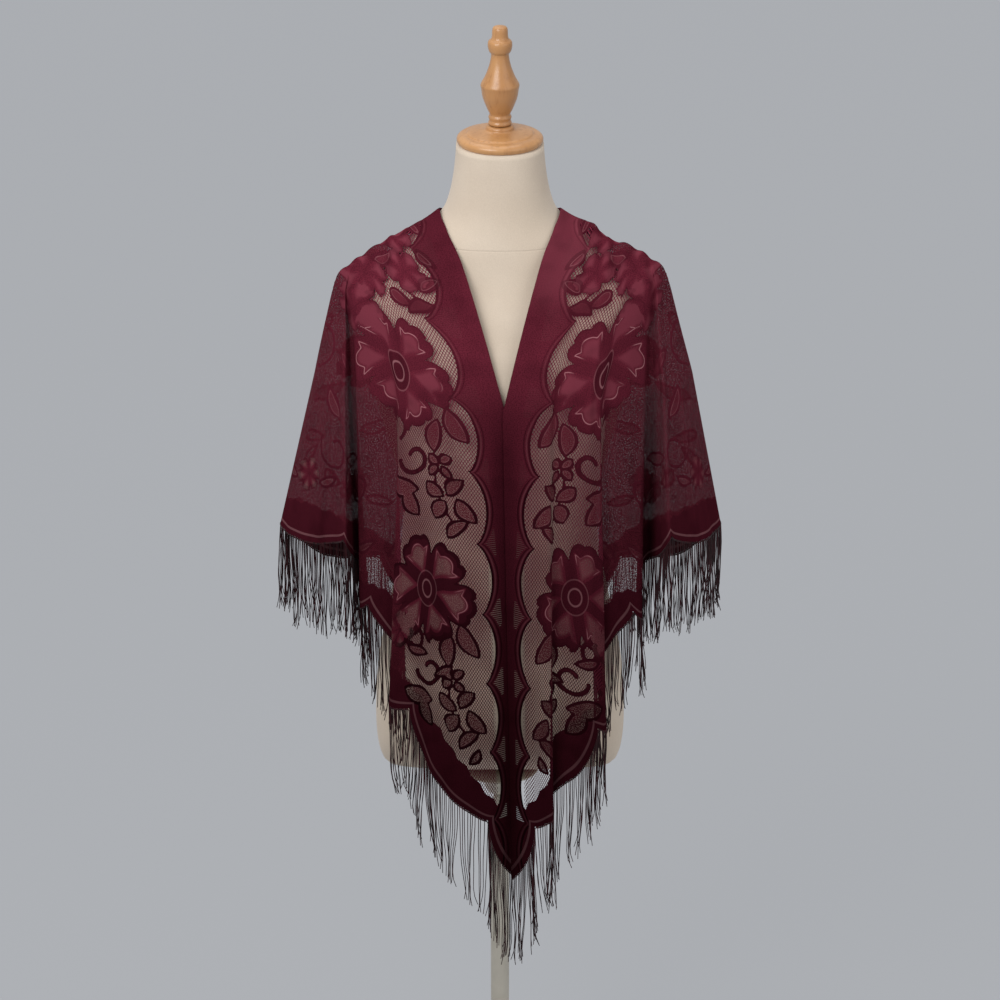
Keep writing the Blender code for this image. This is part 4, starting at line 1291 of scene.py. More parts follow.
def net_rings():
    """Rings over the whole flat shawl whose centres lie in a net zone: for each, six outer and
    six inner corners. Outer corners are those of a hexagonal tiling, and the inner ones are
    nearer to the centre by the width of the thread."""
    rise = MESH_PITCH * math.sqrt(3) / 2
    rows = np.arange(-int(HALF_EDGE / rise) - 1, int(HALF_EDGE / rise) + 2)
    columns = np.arange(0, int(POINT_DROP / MESH_PITCH) + 1)
    column, row = [values.ravel() for values in np.meshgrid(columns, rows)]
    u = row * rise
    v = (column + 0.5 * (row % 2)) * MESH_PITCH
    fits = by_leg(u, v)[2] > LEG_MARGIN
    u, v = u[fits], v[fits]
    inside = inside_hem(u, v) > HEM_MARGIN
    keep = (zones(u, v)["net"] > -UNDER_EDGE) & inside & (v > FIRST_DEPTH)
    u, v = u[keep], v[keep]
    angles = np.arange(6) / 6 * 2 * math.pi
    outer = MESH_PITCH / math.sqrt(3)
    inner_u = outer - THIN_THREAD
    inner_v = outer - THICK_THREAD / math.cos(math.pi / 6)
    ring_u = np.concatenate([outer * np.cos(angles), inner_u * np.cos(angles)])
    ring_v = np.concatenate([outer * np.sin(angles), inner_v * np.sin(angles)])
    corners_u = (u[:, None] + ring_u).ravel()
    corners_v = np.maximum((v[:, None] + ring_v).ravel(), 0.0)
    k = np.arange(6)
    after = (k + 1) % 6
    one = np.concatenate(
        [np.stack([k, after, k + 6], axis=1), np.stack([after, after + 6, k + 6], axis=1)]
    )
    faces = (np.arange(len(u))[:, None, None] * len(ring_u) + one[None]).reshape(-1, 3)
    return corners_u, corners_v, faces


net_u, net_v, net_faces = net_rings()
net_run, net_share = on_drape(net_u, net_v)
net_points = laid(net_u, net_run, net_share)
net_normals = np.zeros_like(net_points)
for drape in DRAPES.values():
    mine = net_u * drape.sign >= 0
    net_normals[mine] = drape.facing(net_run[mine], net_share[mine])
net_points -= net_normals * BEHIND
net_numbers = {
    **zones(net_u, net_v),
    "u": net_u,
    "v": net_v,
    "hem": np.full(len(net_u), FAR),
    "points": net_points,
    "normals": net_normals,
    "run": net_run,
}
for key in FIELDS:
    net_numbers[key] = np.maximum(net_numbers[key], OFF_MOTIF)
NET_MESH = (net_faces, net_numbers)
print("net rings", len(net_faces) // RING_FACES, "triangles", len(net_faces))

# %% [markdown]
# ## Lace finish
#
# Burgundy yarn on a dark net: matt, with a soft sheen at grazing angles. Motifs have a dark
# cord round them and lighter hearts, drawn from the distances at the points. The ground is
# pierced by fine specks, so that it is a little see-through.

# %% Lace colours
DEEP = (0.0160, 0.0024, 0.0044)  # cords
BODY = (0.1280, 0.0168, 0.0310)
HEART = (0.1900, 0.0370, 0.0560)
LOW_HEART = (0.200, 0.080, 0.082)  # hearts low on the fronts, where daylight comes through
LIGHT_LINE = (0.4600, 0.2000, 0.2200)
GROUND_TONE = (0.0900, 0.0130, 0.0215)
CELL_TONE = (0.1100, 0.0230, 0.0310)
THREAD = (0.1750, 0.0240, 0.0460)
BLACK = (0.0, 0.0, 0.0)

# %% Lace zones
SPECK = 0.0012
SPECK_LEVELS = (0.50, 0.60)  # where the fibre's noise makes a speck
CLOUDS = 30.0  # to the metre
SOFT = 0.0005  # half the width over which one zone gives way to the next
FINE, FINEST = 0.0004, 0.0003  # the same at motifs and at cells
HEART_DEEP = 0.0060  # how far inside its outline a heart has its full colour
LOWER = (1.06, 0.90)  # from the first height down to the second, motifs get more contrast
TOP = (1.12, 1.17)  # heights at the shoulders
ONE_SIDE = (0.02, 0.06)  # from the middle to one side
RUNG_STEP = 0.0026
RUNG_LEVELS = (0.1, 0.7)
SLOTS_FADE = (0.93, 0.70)  # heights between which the openwork gets clearer
SLOTS_LEAST = 0.15  # how clear it is above them


def mark_zones(lace):
    """Masks of the zones, each 1 inside, from the distances at the points and the height."""
    lace.flat = lace.flat_place()
    for name in (*FIELDS, "band", "hem", "hem_band", "far", "ladder"):
        setattr(lace, name, lace.number(name))
    lace.fibre = lace.noise(lace.flat, 1 / SPECK, 2.0, 0.6)
    lace.cloud = lace.noise(lace.flat, CLOUDS, 2.0)
    lace.specks = lace.fibre.rises(*SPECK_LEVELS)
    lace.across, lace.height = lace.part(lace.place(), 0), lace.part(lace.place(), 2)
    near, wide = ONE_SIDE
    # Painted light: right of the middle this is halved, so motifs there get weaker cords, as that side
    # is lit differently.
    lace.low = lace.height.rises(*LOWER) * (1 - lace.across.rises(near, wide) * 0.5)
    # Painted light and shade at the shoulders: the band is painted lighter on the right and darker on
    # the left.
    lace.lit_top = lace.across.rises(near, wide) * lace.height.rises(*TOP)
    lace.dull_top = lace.across.rises(-near, -wide) * lace.height.rises(*TOP)
    lace.in_motif = lace.motif.inside(FINE)
    lace.in_heart = lace.arc.most(lace.side).rises(0.0, -HEART_DEEP) * lace.in_motif
    lace.in_cell = lace.cell.inside(FINEST) * lace.in_motif
    lace.in_eye = lace.eye.inside(FINE)
    lace.in_band, lace.in_hem = lace.band.inside(SOFT), lace.hem_band.inside(SOFT)
    open_cloth = (1 - lace.in_motif) * (1 - lace.in_band.most(lace.in_hem))
    lace.in_net = lace.far.rises(-SOFT, SOFT) * open_cloth
    lace.ground = lace.far.rises(2 * SOFT, -2 * SOFT) * open_cloth
    rungs = (lace.part(lace.flat, 0) * (2 * math.pi / RUNG_STEP)).sine().rises(*RUNG_LEVELS)
    clear = lace.height.rises(*SLOTS_FADE) * (1 - SLOTS_LEAST) + SLOTS_LEAST
    lace.slots = lace.ladder.rises(0.0, 2 * SOFT) * rungs * clear


# %% [markdown]
# Cords and light threads are lines at a set distance from an outline. Each is stated as its
# middle, half the width of its core, and half its width with the soft edge, in metres.

# %% Lace lines
MOTIF_RIM = (-0.0011, 0.0009, 0.0016)
BAND_EDGE_CORD = (-0.0011, 0.0008, 0.0015)
BAND_INNER_CORD = (-0.0062, 0.0005, 0.0010)
HEART_LINE = (0.0, 0.0003, 0.0010)
HEART_SIDE = (0.0, 0.0002, 0.0008)
EYE_RING = (0.0008, 0.0003, 0.0009)
INNER_EYE_RING = (-0.0068, 0.0004, 0.0012)
LEAF_LINE = (-0.0006, 0.0002, 0.0006)
HEM_LINE = (0.0082, 0.0011, 0.0019)
BAND_LINE = (-0.0036, 0.0004, 0.0010)
PETAL_RIM = (-0.0070, -0.0056)  # inside these distances from the rim a petal is lighter
HEART_RIM = (0.0012, 0.0026)
WITH_HEART = (0.045, 0.040)  # past this distance from a heart there is none to go round
IN_CORD = 0.0034  # just under the width of the cord of a leaf
CORD_BLUR = 0.0006
INTO_GROUND = (-0.030, -0.005)  # motifs this far into the ground have weaker cords
ARC_END = (0.0005, -0.0010)  # the arc's line stops at the heart's sides
SIDE_END = (-0.016, -0.006)  # and the side's line fades towards the foot
BROKEN = (0.36, 0.56)  # where the clouds let the light threads show


def cords(lace):
    """Dark cords round motifs, petals, leaves and the band, the dark eyes, and painted shade in the
    creases of small flowers: the strongest of them at each point."""
    rim = lace.motif.line(*MOTIF_RIM) * (lace.low * 0.5 + 0.4)
    # a cord round a heart; in a small flower, painted shade in the creases between petals
    round_heart = lace.arc.most(lace.side).rises(*HEART_RIM) * 0.8
    petal_rim = lace.motif.rises(*PETAL_RIM).most(round_heart)
    petal_rim = petal_rim * lace.arc.rises(*WITH_HEART) * (lace.low * 0.72 + 0.22)
    leaf_rim = lace.cell.rises(-CORD_BLUR, FINE) * lace.cell.rises(IN_CORD + CORD_BLUR, IN_CORD)
    leaf_rim = leaf_rim * lace.in_motif * (lace.low * 0.6 + 0.4)
    cord = rim.most(petal_rim * lace.in_motif).most(leaf_rim)
    cord = cord * (lace.far.rises(*INTO_GROUND) * 0.55 + 0.45)
    band_cord = lace.band.line(*BAND_EDGE_CORD).most(lace.band.line(*BAND_INNER_CORD) * 0.7)
    return cord.most(band_cord * (lace.low * 0.55 + 0.45)).most(lace.in_eye * 0.55)


def light_lines(lace, hem_line):
    """Light threads in hearts, eyes and leaves, along the hem and in the band, and the rungs:
    the strongest of them at each point."""
    heart = lace.arc.line(*HEART_LINE) * lace.side.rises(*ARC_END)
    heart_side = lace.side.line(*HEART_SIDE) * lace.arc.inside(FINE)
    heart = heart.most(heart_side * lace.arc.rises(*SIDE_END)) * lace.in_motif
    eye = (lace.eye.line(*EYE_RING) * 0.5).most(lace.eye.line(*INNER_EYE_RING)) * lace.in_motif
    leaf = lace.cell.line(*LEAF_LINE) * lace.in_motif
    broken = lace.cloud.rises(*BROKEN)
    light = (heart * broken * 0.8).most(eye * 0.5).most(hem_line * 0.75)
    light = light.most(lace.slots * 0.25).most(leaf * broken * 0.25)
    return light.most(lace.band.line(*BAND_LINE) * (lace.low * 0.13 + 0.07))


# %% Lace shade
CLOTH_SHADE = (1.12, 0.50, 0.72)  # painted shade: between two heights, up to this much darker, as less light reaches the lower cloth
BAND_SHADE = (1.09, 1.01, 0.29)  # painted shade on the front band once more
EDGE_SHADE = (1.07, 0.95, 0.38)  # and its edge, which turns away from the light
EDGE_DEPTHS = (0.022, 0.002)


def lace_shade(lace):
    """How much painted shade is taken from the colour. Each shade leaves a share of what the others
    leave.
    """
    # Painted shade: darker towards the hem, where less light falls, with the front band, its turned
    # edge and the hem's close band darker still.
    high, low, most = EDGE_SHADE
    edge = lace.part(lace.flat, 1).rises(*EDGE_DEPTHS) * lace.height.rises(high, low) * most
    # painted shade on the band at the left shoulder
    edge = edge.most(lace.dull_top * 0.24)
    high, low, most = BAND_SHADE
    band = 1 - (1 - lace.height.rises(high, low) * most) * (1 - edge)
    high, low, most = CLOTH_SHADE
    close = (lace.in_band * band).most(lace.in_hem * 0.40)
    return 1 - (1 - lace.height.rises(high, low) * most) * (1 - close)


# %% Lace material
BODY_LEVELS = (0.34, 0.60)  # where the fibre's noise goes from deep to the body colour
DULL_CLOUDS = (0.55, 0.25)
LACE_RELIEF = 0.0006
LACE_SHEEN = (0.7, 0.10, 0.16, 1.0)


def lace_material():
    """Fibre first, then the zones, the cords and light threads, and the painted shade over all of it.
    Specks, cells, slots and low hearts let some light through."""
    lace = Finish("burgundy lace")
    mark_zones(lace)
    low, hem_line = lace.low, lace.hem.line(*HEM_LINE)
    cord, light = cords(lace), light_lines(lace, hem_line)

    colour = lace.blend(lace.fibre.rises(*BODY_LEVELS) * 0.5 + 0.5, DEEP, BODY)
    colour = lace.blend(lace.ground * 0.6, colour, GROUND_TONE)
    colour = lace.blend(lace.in_heart * 0.7, colour, lace.blend(low, HEART, LOW_HEART))
    colour = lace.blend(lace.in_cell * (low * 0.5 + 0.2), colour, CELL_TONE)
    # painted light on the band at the right shoulder
    colour = lace.blend(lace.lit_top * lace.in_band * 0.6, colour, HEART)
    colour = lace.blend(cord * 0.92, colour, DEEP)
    colour = lace.blend(light * 0.8, colour, LIGHT_LINE)
    dull = lace.cloud.rises(*DULL_CLOUDS) * 0.25 * (1 - lace.in_net)
    colour = lace.blend(dull, colour, DEEP)
    colour = lace.blend(lace.in_net * 0.9, colour, THREAD)
    # painted shade over all of it
    colour = lace.blend(lace_shade(lace), colour, BLACK)

    thin_cell = lace.in_cell * lace.specks * (low * 0.4 + 0.1)
    thin = (lace.ground * lace.specks * 0.55).most(thin_cell).most(lace.slots * 0.4)
    thin = thin.most(lace.in_heart * lace.specks * low * 0.35)
    relief = lace.fibre * 0.25 + cord * 0.9 + lace.in_motif * 0.4 + hem_line * 0.5
    return lace.set(
        Base_Color=colour,
        Roughness=0.7,
        Alpha=1 - thin,
        Normal=lace.bump(relief, LACE_RELIEF, 0.7),
        Sheen_Weight=0.05,
        Sheen_Roughness=0.4,
        Sheen_Tint=LACE_SHEEN,
        Specular_IOR_Level=0.0,
    )


LACE = lace_material()
print("material", LACE.name)

# %% [markdown]
# ## Three lace pieces
#
# The two fronts and the back are one cloth on the real shawl. Here they are three pieces, as in
# the frame, and each has its part of the net. Each has a map from the flat triangle for its
# colours.

# %% Lace pieces
KEPT = ("flat", *FIELDS, "ladder", "band", "far", "hem_band", "hem")
LAID = ("u", "v", "points", "normals")
FRONT_SIZE, FRONT_CUT = (0.870, 0.4655), 0.191  # flat size, and area of the cut
BACK_SIZE, BACK_CUT = (0.723, 0.740), 0.340


def part_of(mesh_faces, mesh_numbers, together):
    """0 right front, 1 left front, 2 back for each face. Faces that belong together, such as
    those of one ring, go to one part."""
    u = mesh_numbers["u"][mesh_faces].mean(axis=1).reshape(-1, together).mean(axis=1)
    run = mesh_numbers["run"][mesh_faces].mean(axis=1).reshape(-1, together).mean(axis=1)
    return np.repeat(np.where(run > OUTER_RUN, 2, np.where(u < 0, 0, 1)), together)


def lace_piece(name, number, cloth, cad_node):
    """One lace piece with its net, at its place on the form. Its map is the flat triangle,
    moved and scaled to fit."""
    faces, values, offset = [], [], 0
    for (mesh_faces, mesh_numbers), together in ((cloth, 1), (NET_MESH, RING_FACES)):
        mine = part_of(mesh_faces, mesh_numbers, together) == number
        own_faces, own = used_only(mesh_faces[mine], mesh_numbers)
        faces.append(own_faces + offset)
        offset += len(own["u"])
        values.append(own)
    joined = {k: np.concatenate([own[k] for own in values]) for k in KEPT + LAID}
    faces = np.concatenate(faces)
    piece = mesh_piece(
        name,
        joined["points"],
        faces,
        LACE,
        numbers={k: joined[k] for k in KEPT},
        normals=joined["normals"],
    )
    layout = np.stack([joined["u"], joined["v"]], axis=1)
    layout -= layout.min(axis=0)
    layout /= layout.max()
    uv = piece.data.uv_layers.new(name="OFBake")
    uv.data.foreach_set("uv", layout[faces.ravel()].astype(np.float32).ravel())
    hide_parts(cad_node)
    print(name, "triangles", len(faces))
    return piece


LACE_PIECES = [
    # piece, flat size, area of its cut
    (lace_piece("lace_right_front", 0, FRONT_MESH, "shawl_right_front"), FRONT_SIZE, FRONT_CUT),
    (lace_piece("lace_left_front", 1, FRONT_MESH, "shawl_left_front"), FRONT_SIZE, FRONT_CUT),
    (lace_piece("lace_back", 2, BACK_MESH, "shawl_back"), BACK_SIZE, BACK_CUT),
]

# %% [markdown]
# ## Fringe
#
# Single threads are knotted into the hem about every three and a half millimetres. Strands near
# each other catch and hang in small bunches, wave a little and end unevenly. Each is a thin
# three-sided tube. A simulation of 720 strands would be slow and no better to look at.

# %% Hem line
RUN_MARGIN = 0.0005
FACING_SHARE = 0.985  # the facing is read a little above the hem
WAY_SHARE = 0.02  # and the way down over this much of the rib


def hem_way(drape, run):
    """Hem points, the way down the cloth to them and the cloth's facing there."""
    run = np.clip(run, RUN_MARGIN, LEG - RUN_MARGIN)
    rib, share = drape.rib_of(foot_of(run) - scallop_rise(run)[:, None] * LEG_NORMAL)
    hem = drape.place(rib, share)
    facing = drape.facing(rib, share * FACING_SHARE)
    down = hem - drape.place(rib, share - WAY_SHARE)
    down /= np.linalg.norm(down, axis=1, keepdims=True)
    return hem, down, facing


# %% Strands
STRAND_STEP = 0.0034
STRAND_JITTER = 0.3  # of a step, to both sides
STRAND_RADIUS = 0.00066
STRAND_TAPER = 0.80  # of the radius, at the end
STRAND_SIDES = 3
STRAND_POINTS = 11
FRINGE_LENGTH = 0.109
FRINGE_UNEVEN = 0.011
BUNCH_UNEVEN, STRAND_UNEVEN = (-1, 0.6), (-0.5, 0.3)  # shares of it
TIP_LONGER, TIP_REACH = 0.16, 0.17  # more length at the front tip, over this run
BUNCH = (3, 9)  # fewest strands in a bunch, and one more than the most
BUNCH_PULL = (0.3, 0.9)  # share of the way to the middle of the bunch
BUNCH_LEAN, STRAND_LEAN = 0.0035, 0.0016
ROOT_WAY, ROOT_PART = 0.006, 6  # a strand starts down the cloth, in one part of this many
HANGS_FROM = 0.004
WAVES = (
    # size, fewest and most waves, one to a bunch or to a strand
    (0.0018, 0.6, 1.1, True),
    (0.0006, 1.2, 2.4, False),
)
END_CURL, END_FROM = 0.0018, 0.8
PULL_POWER, LEAN_POWER, WAVE_POWER = 1.3, 1.5, 0.8  # how each grows down the strand
PHASES = 7  # a little over one full turn, in radians


def tube(paths, radii, sides):
    """Tubes round paths of (strand, point, xyz): each point plus a circle of its radius. The
    circles lie in level planes, because the paths hang."""
    count, points = paths.shape[:2]
    angles = np.arange(sides) / sides * 2 * math.pi
    around = np.stack([np.cos(angles), np.sin(angles), np.zeros(sides)], axis=1)
    rings = paths[:, :, None, :] + around[None, None] * radii[:, :, None, None]
    quads = grid_quads(points, sides, closed=True)
    faces = np.arange(count)[:, None, None] * points * sides + quads[None]
    return rings.reshape(-1, 3), faces.reshape(-1, 4)[:, ::-1]


def strands(drape, first, last, random):
    """Paths of the strands between two runs of the hem: a straight fall from the hem, pulled to
    the middle of the bunch, with a lean and waves that grow towards the end."""
    run = np.arange(first + STRAND_STEP / 2, last, STRAND_STEP)
    run = run + random.uniform(-STRAND_JITTER, STRAND_JITTER, len(run)) * STRAND_STEP
    root, down, _facing = hem_way(drape, run)
    bunch = np.repeat(np.arange(len(run)), random.integers(*BUNCH, len(run)))[: len(run)]
    bunches = bunch.max() + 1
    members = np.maximum(np.bincount(bunch), 1)
    middle = np.stack([np.bincount(bunch, root[:, k]) / members for k in range(3)], axis=1)

    def each(low, high, shared):
        """Random numbers for the strands, one to a bunch or one to a strand."""
        if shared:
            return random.uniform(low, high, bunches)[bunch]
        return random.uniform(low, high, len(run))

    pull = (middle[bunch] - root) * each(*BUNCH_PULL, True)[:, None] * (1, 1, 0)
    lean = random.normal(0, BUNCH_LEAN, (bunches, 2))[bunch]
    lean = lean + random.normal(0, STRAND_LEAN, (len(run), 2))
    length = FRINGE_LENGTH + FRINGE_UNEVEN * each(*BUNCH_UNEVEN, True)
    length += FRINGE_UNEVEN * each(*STRAND_UNEVEN, False)
    length *= 1 + TIP_LONGER * np.exp(-((run / TIP_REACH) ** 2))
    t = np.linspace(0, 1, STRAND_POINTS)[None, :, None]
    path = root[:, None, :] + pull[:, None, :] * t**PULL_POWER
    path = path + down[:, None, :] * ROOT_WAY * np.minimum(t * ROOT_PART, 1)
    path[..., 2] -= (length[:, None] - HANGS_FROM) * t[..., 0]
    path[..., :2] += lean[:, None, :] * t**LEAN_POWER
    for size, fewest, most, shared in WAVES:
        for axis in (0, 1):
            turns, phase = each(fewest, most, shared), each(0, PHASES, shared)
            wave = np.sin(t[..., 0] * turns[:, None] * 2 * math.pi + phase[:, None])
            wave = wave - np.sin(phase)[:, None]
            path[..., axis] += size * wave * t[..., 0] ** WAVE_POWER
    end = np.clip((t[..., 0] - END_FROM) / (1 - END_FROM), 0, 1) ** 2
    for axis in (0, 1):
        path[..., axis] += end * random.normal(0, END_CURL, len(run))[:, None]
    return path


# %% Knotted edge
HEADING = 0.0011  # half the height of the knotted edge
HEADING_FLAT = 0.6  # of that, half its thickness
HEADING_DROP = 0.0012
HEADING_STEP = 0.004


def heading(drape, first, last):
    """The knotted edge: a cord along the hem, with a corner at the front, foot, back and top."""
    run = np.linspace(first, last, int((last - first) / HEADING_STEP) + 2)
    hem, down, facing = hem_way(drape, run)
    middle = hem + down * HEADING_DROP
    out, way = facing * HEADING * HEADING_FLAT, down * HEADING
    corners = [out, way, -out, -way]
    rings = np.stack([middle + corner for corner in corners], axis=1).reshape(-1, 3)
    return rings, grid_quads(len(run), 4, closed=True)


# %% Fringe finish and pieces
FRINGE_DARK = (0.008, 0.0012, 0.0020)
FRINGE_LIGHT = (0.040, 0.0060, 0.0095)
TONES, TWISTS = 420.0, 1500.0  # to the metre
UPRIGHT_TONES = (1.0, 1.0, 0.12)
TWIST_RELIEF = 0.0003


def fringe_material():
    """Nearly black burgundy thread, lighter in places by a noise that is stretched upright."""
    fringe = Finish("fringe thread")
    tone = fringe.noise(fringe.stretched(fringe.place(), UPRIGHT_TONES), TONES, 2.0)
    twist = fringe.noise(fringe.place(), TWISTS, 1.0)
    colour = fringe.blend(tone.rises(0.35, 0.65), FRINGE_DARK, FRINGE_LIGHT)
    return fringe.set(
        Base_Color=colour,
        Roughness=0.6,
        Normal=fringe.bump(twist, TWIST_RELIEF, 0.6),
        Sheen_Weight=0.05,
        Specular_IOR_Level=0.15,
    )


FRINGE = fringe_material()


def fringe_piece(name, parts, cad_node):
    """Fringe of one piece: strands and knotted edge for each stretch of hem."""
    random = np.random.default_rng(len(name))
    points, faces, offset, count = [], [], 0, 0
    for side, first, last in parts:
        path = strands(DRAPES[side], first, last, random)
        count += len(path)
        radii = STRAND_RADIUS * np.linspace(1.0, STRAND_TAPER, STRAND_POINTS)
        radii = np.broadcast_to(radii, path.shape[:2])
        for own in (tube(path, radii, STRAND_SIDES), heading(DRAPES[side], first, last)):
            points.append(own[0])
            faces.append(own[1] + offset)
            offset += len(own[0])
    piece = mesh_piece(name, np.concatenate(points), np.concatenate(faces), FRINGE)
    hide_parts(cad_node)
    print(name, "strands", count, "quads", sum(len(f) for f in faces))
    return piece


FRINGE_PIECES = [
    fringe_piece("strands_right_front", [("right", 0.0, OUTER_RUN)], "fringe_right_front"),
    fringe_piece("strands_left_front", [("left", 0.0, OUTER_RUN)], "fringe_left_front"),
    fringe_piece(
        "strands_back", [("right", OUTER_RUN, LEG), ("left", OUTER_RUN, LEG)], "fringe_back"
    ),
]

# %% [markdown]
# ## Dress form
#
# The torso is padded and covered with cream jersey. It has a seam round the root of the neck, at
# the sides and down the back. A fine loft through the same levels as the solid keeps its
# outline smooth.

# %% Torso cover
COVER_SIDES = 144
COVER_ROWS = 150
FOOT_ROWS = 14  # close rows round the lower edge
FOOT_END, REST_START = 0.520, 0.524
SMOOTHING = 0.012  # height to each side over which the levels are rounded
SMOOTHING_STEPS = 9
SHARP_FOOT = (0.525, 0.030)  # the rounding starts at this height, over this much
SHARP_NECK = 0.020  # and ends this far under the top
NECK_SEAM_Z = 1.2115
NECK_SEAM_RISE = 0.013  # the neck's seam is higher at the back than at the front
NECK_SEAM_DEPTH = 0.055
SIDE_SEAM_TOP = 1.0
NO_SEAM = 1.0


def torso_points():
    """Rings of the torso as a grid of points, from its foot to its neck. Each ring is a
    super-ellipse: a power of the cosine sideways and of the sine front to back. Its sizes are
    a mean of the levels near it, but not at the foot and the top of the neck."""
    levels = column(TORSO_LEVELS, TORSO_COLUMNS, "z")
    foot = np.linspace(levels[0], FOOT_END, FOOT_ROWS)
    z = np.concatenate([foot, np.linspace(REST_START, levels[-1], COVER_ROWS - FOOT_ROWS)])
    fine = torso_ring(z)
    offsets = np.linspace(-SMOOTHING, SMOOTHING, SMOOTHING_STEPS)
    soft = np.mean([torso_ring(z + offset) for offset in offsets], axis=0)
    share = np.clip((z - SHARP_FOOT[0]) / SHARP_FOOT[1], 0, 1)
    share = share * np.clip((levels[-1] - z) / SHARP_NECK, 0, 1)
    size = [a * (1 - share) + b * share for a, b in zip(fine, soft)]
    turns = np.arange(COVER_SIDES) / COVER_SIDES * 2 * math.pi
    cosine, sine = np.cos(turns), np.sin(turns)
    power = 2 / TORSO_SQUARE
    depth = np.where(sine < 0, size[1][:, None], size[2][:, None])
    x = size[0][:, None] * np.sign(cosine) * np.abs(cosine) ** power
    y = depth * np.sign(sine) * np.abs(sine) ** power
    return np.stack([x, y, np.broadcast_to(z[:, None], x.shape)], axis=2)


# %% Jersey
JERSEY_DARK, JERSEY_LIGHT = (0.615, 0.512, 0.408), (0.685, 0.582, 0.473)
KNIT_TONE = (0.36, 0.29, 0.22)
SEAM_TONE = (0.30, 0.23, 0.17)
KNITS, JERSEY_CLOUDS = 1300.0, 9.0  # to the metre
UPRIGHT_KNIT = (1.0, 1.0, 0.45)
SEAM_WIDTH = (0.0012, 0.0002)
JERSEY_RELIEF = 0.0010


def jersey_material():
    """Cream jersey: wide soft clouds, a fine knit in tone and relief, and sunk seams."""
    jersey = Finish("form jersey")
    place = jersey.place()
    knit = jersey.noise(jersey.stretched(place, UPRIGHT_KNIT), KNITS, 2.0)
    cloud = jersey.noise(place, JERSEY_CLOUDS, 3.0)
    near_seam = jersey.number("seam").rises(*SEAM_WIDTH)
    colour = jersey.blend(cloud.rises(0.3, 0.7), JERSEY_DARK, JERSEY_LIGHT)
    colour = jersey.blend(knit.rises(0.35, 0.65) * 0.14, colour, KNIT_TONE)
    colour = jersey.blend(near_seam * 0.10, colour, SEAM_TONE)
    return jersey.set(
        Base_Color=colour,
        Roughness=0.85,
        Normal=jersey.bump(knit * 0.35 - near_seam * 0.5, JERSEY_RELIEF, 0.55),
        Sheen_Weight=0.12,
        Specular_IOR_Level=0.2,
    )


def seam_distance(rings):
    """Distance of the cover's points from the nearest seam: round the neck, down both sides
    under the arms, and down the back."""
    x, y, z = rings[..., 0], rings[..., 1], rings[..., 2]
    neck = np.abs(z - (NECK_SEAM_Z + NECK_SEAM_RISE * np.clip(y / NECK_SEAM_DEPTH, -1, 1)))
    side = np.where(z < SIDE_SEAM_TOP, np.abs(y), NO_SEAM)
    back = np.where(y > 0, np.abs(x), NO_SEAM)
    return np.minimum(np.minimum(neck, side), back).ravel()


def closed_cover(rings):
    """Points and triangles of the cover: the grid's quads in halves, and a fan of triangles
    round a middle point at each end."""
    ends = [[0, 0, rings[-1, 0, 2]], [0, 0, rings[0, 0, 2]]]
    points = np.concatenate([rings.reshape(-1, 3), ends])
    quads = grid_quads(COVER_ROWS, COVER_SIDES, closed=True)
    foot = np.arange(COVER_SIDES)
    top = (COVER_ROWS - 1) * COVER_SIDES + foot
    fans = [
        np.stack([top, np.roll(top, -1), np.full(COVER_SIDES, len(points) - 2)], axis=1),
        np.stack([np.roll(foot, -1), foot, np.full(COVER_SIDES, len(points) - 1)], axis=1),
    ]
    return points, np.concatenate([quads[:, [0, 1, 2]], quads[:, [0, 2, 3]], *fans])


# %% Form cover
cover_rings = torso_points()
cover_points, cover_faces = closed_cover(cover_rings)
cover_seams = np.concatenate([seam_distance(cover_rings), [NO_SEAM, NO_SEAM]])
COVER = mesh_piece(
    "form_cover",
    cover_points,
    cover_faces,
    jersey_material(),
    numbers={"seam": cover_seams},
)
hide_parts("torso")
print("form cover", len(cover_faces), "triangles")

# %% [markdown]
# ## Turned wood and metal
#
# The neck cap and its finial are turned from pale wood with a clear lacquer. The stand is a
# painted steel tube in a turned base. Each is a fine lathe through the solid's own profile, with
# the corners of the profile slightly rounded.

# %% Profiles
FINIAL_PROFILE = (
    # radius, height
    (0.0000, 1.4500),
    (0.0070, 1.4492),
    (0.0090, 1.4465),
    (0.0094, 1.4345),
    (0.0138, 1.4320),
    (0.0144, 1.4260),
    (0.0128, 1.4195),
    (0.0098, 1.4165),
    (0.0122, 1.4030),
    (0.0175, 1.3890),
    (0.0229, 1.3800),
    (0.0219, 1.3760),
    (0.0205, 1.3650),
    (0.0150, 1.3510),
    (0.0115, 1.3445),
    (0.0138, 1.3415),
    (0.0122, 1.3375),
    (0.0138, 1.3345),
    (0.0130, 1.3318),
    (0.0000, 1.3318),
)
CAP_PROFILE = (
    (0.0000, 1.3315),
    (0.0150, 1.3315),
    (0.0168, 1.3290),
    (0.0165, 1.3255),
    (0.0380, 1.3228),
    (0.0390, 1.3208),
    (0.0450, 1.3203),
    (0.0495, 1.3175),
    (0.0506, 1.3140),
    (0.0492, 1.3105),
    (0.0470, 1.3093),
    (0.0000, 1.3093),
)
FLANGE_PROFILE = (
    (0.0000, 0.5057),
    (0.0480, 0.5057),
    (0.0480, 0.5017),
    (0.0220, 0.4950),
    (0.0170, 0.4700),
    (0.0000, 0.4700),
)
BASE_RADIUS = 0.150
BASE_PROFILE = (
    (0.0000, 0.0460),
    (0.0180, 0.0460),
    (0.0210, 0.0430),
    (0.0210, 0.0200),
    (0.0320, 0.0130),
    (0.1400, 0.0080),
    (0.1480, 0.0060),
    (BASE_RADIUS, 0.0035),
    (BASE_RADIUS, 0.0000),
    (0.0000, 0.0000),
)
POLE_RADIUS = 0.0115
POLE_FOOT = 0.0463
POLE_HEAD = 0.4697
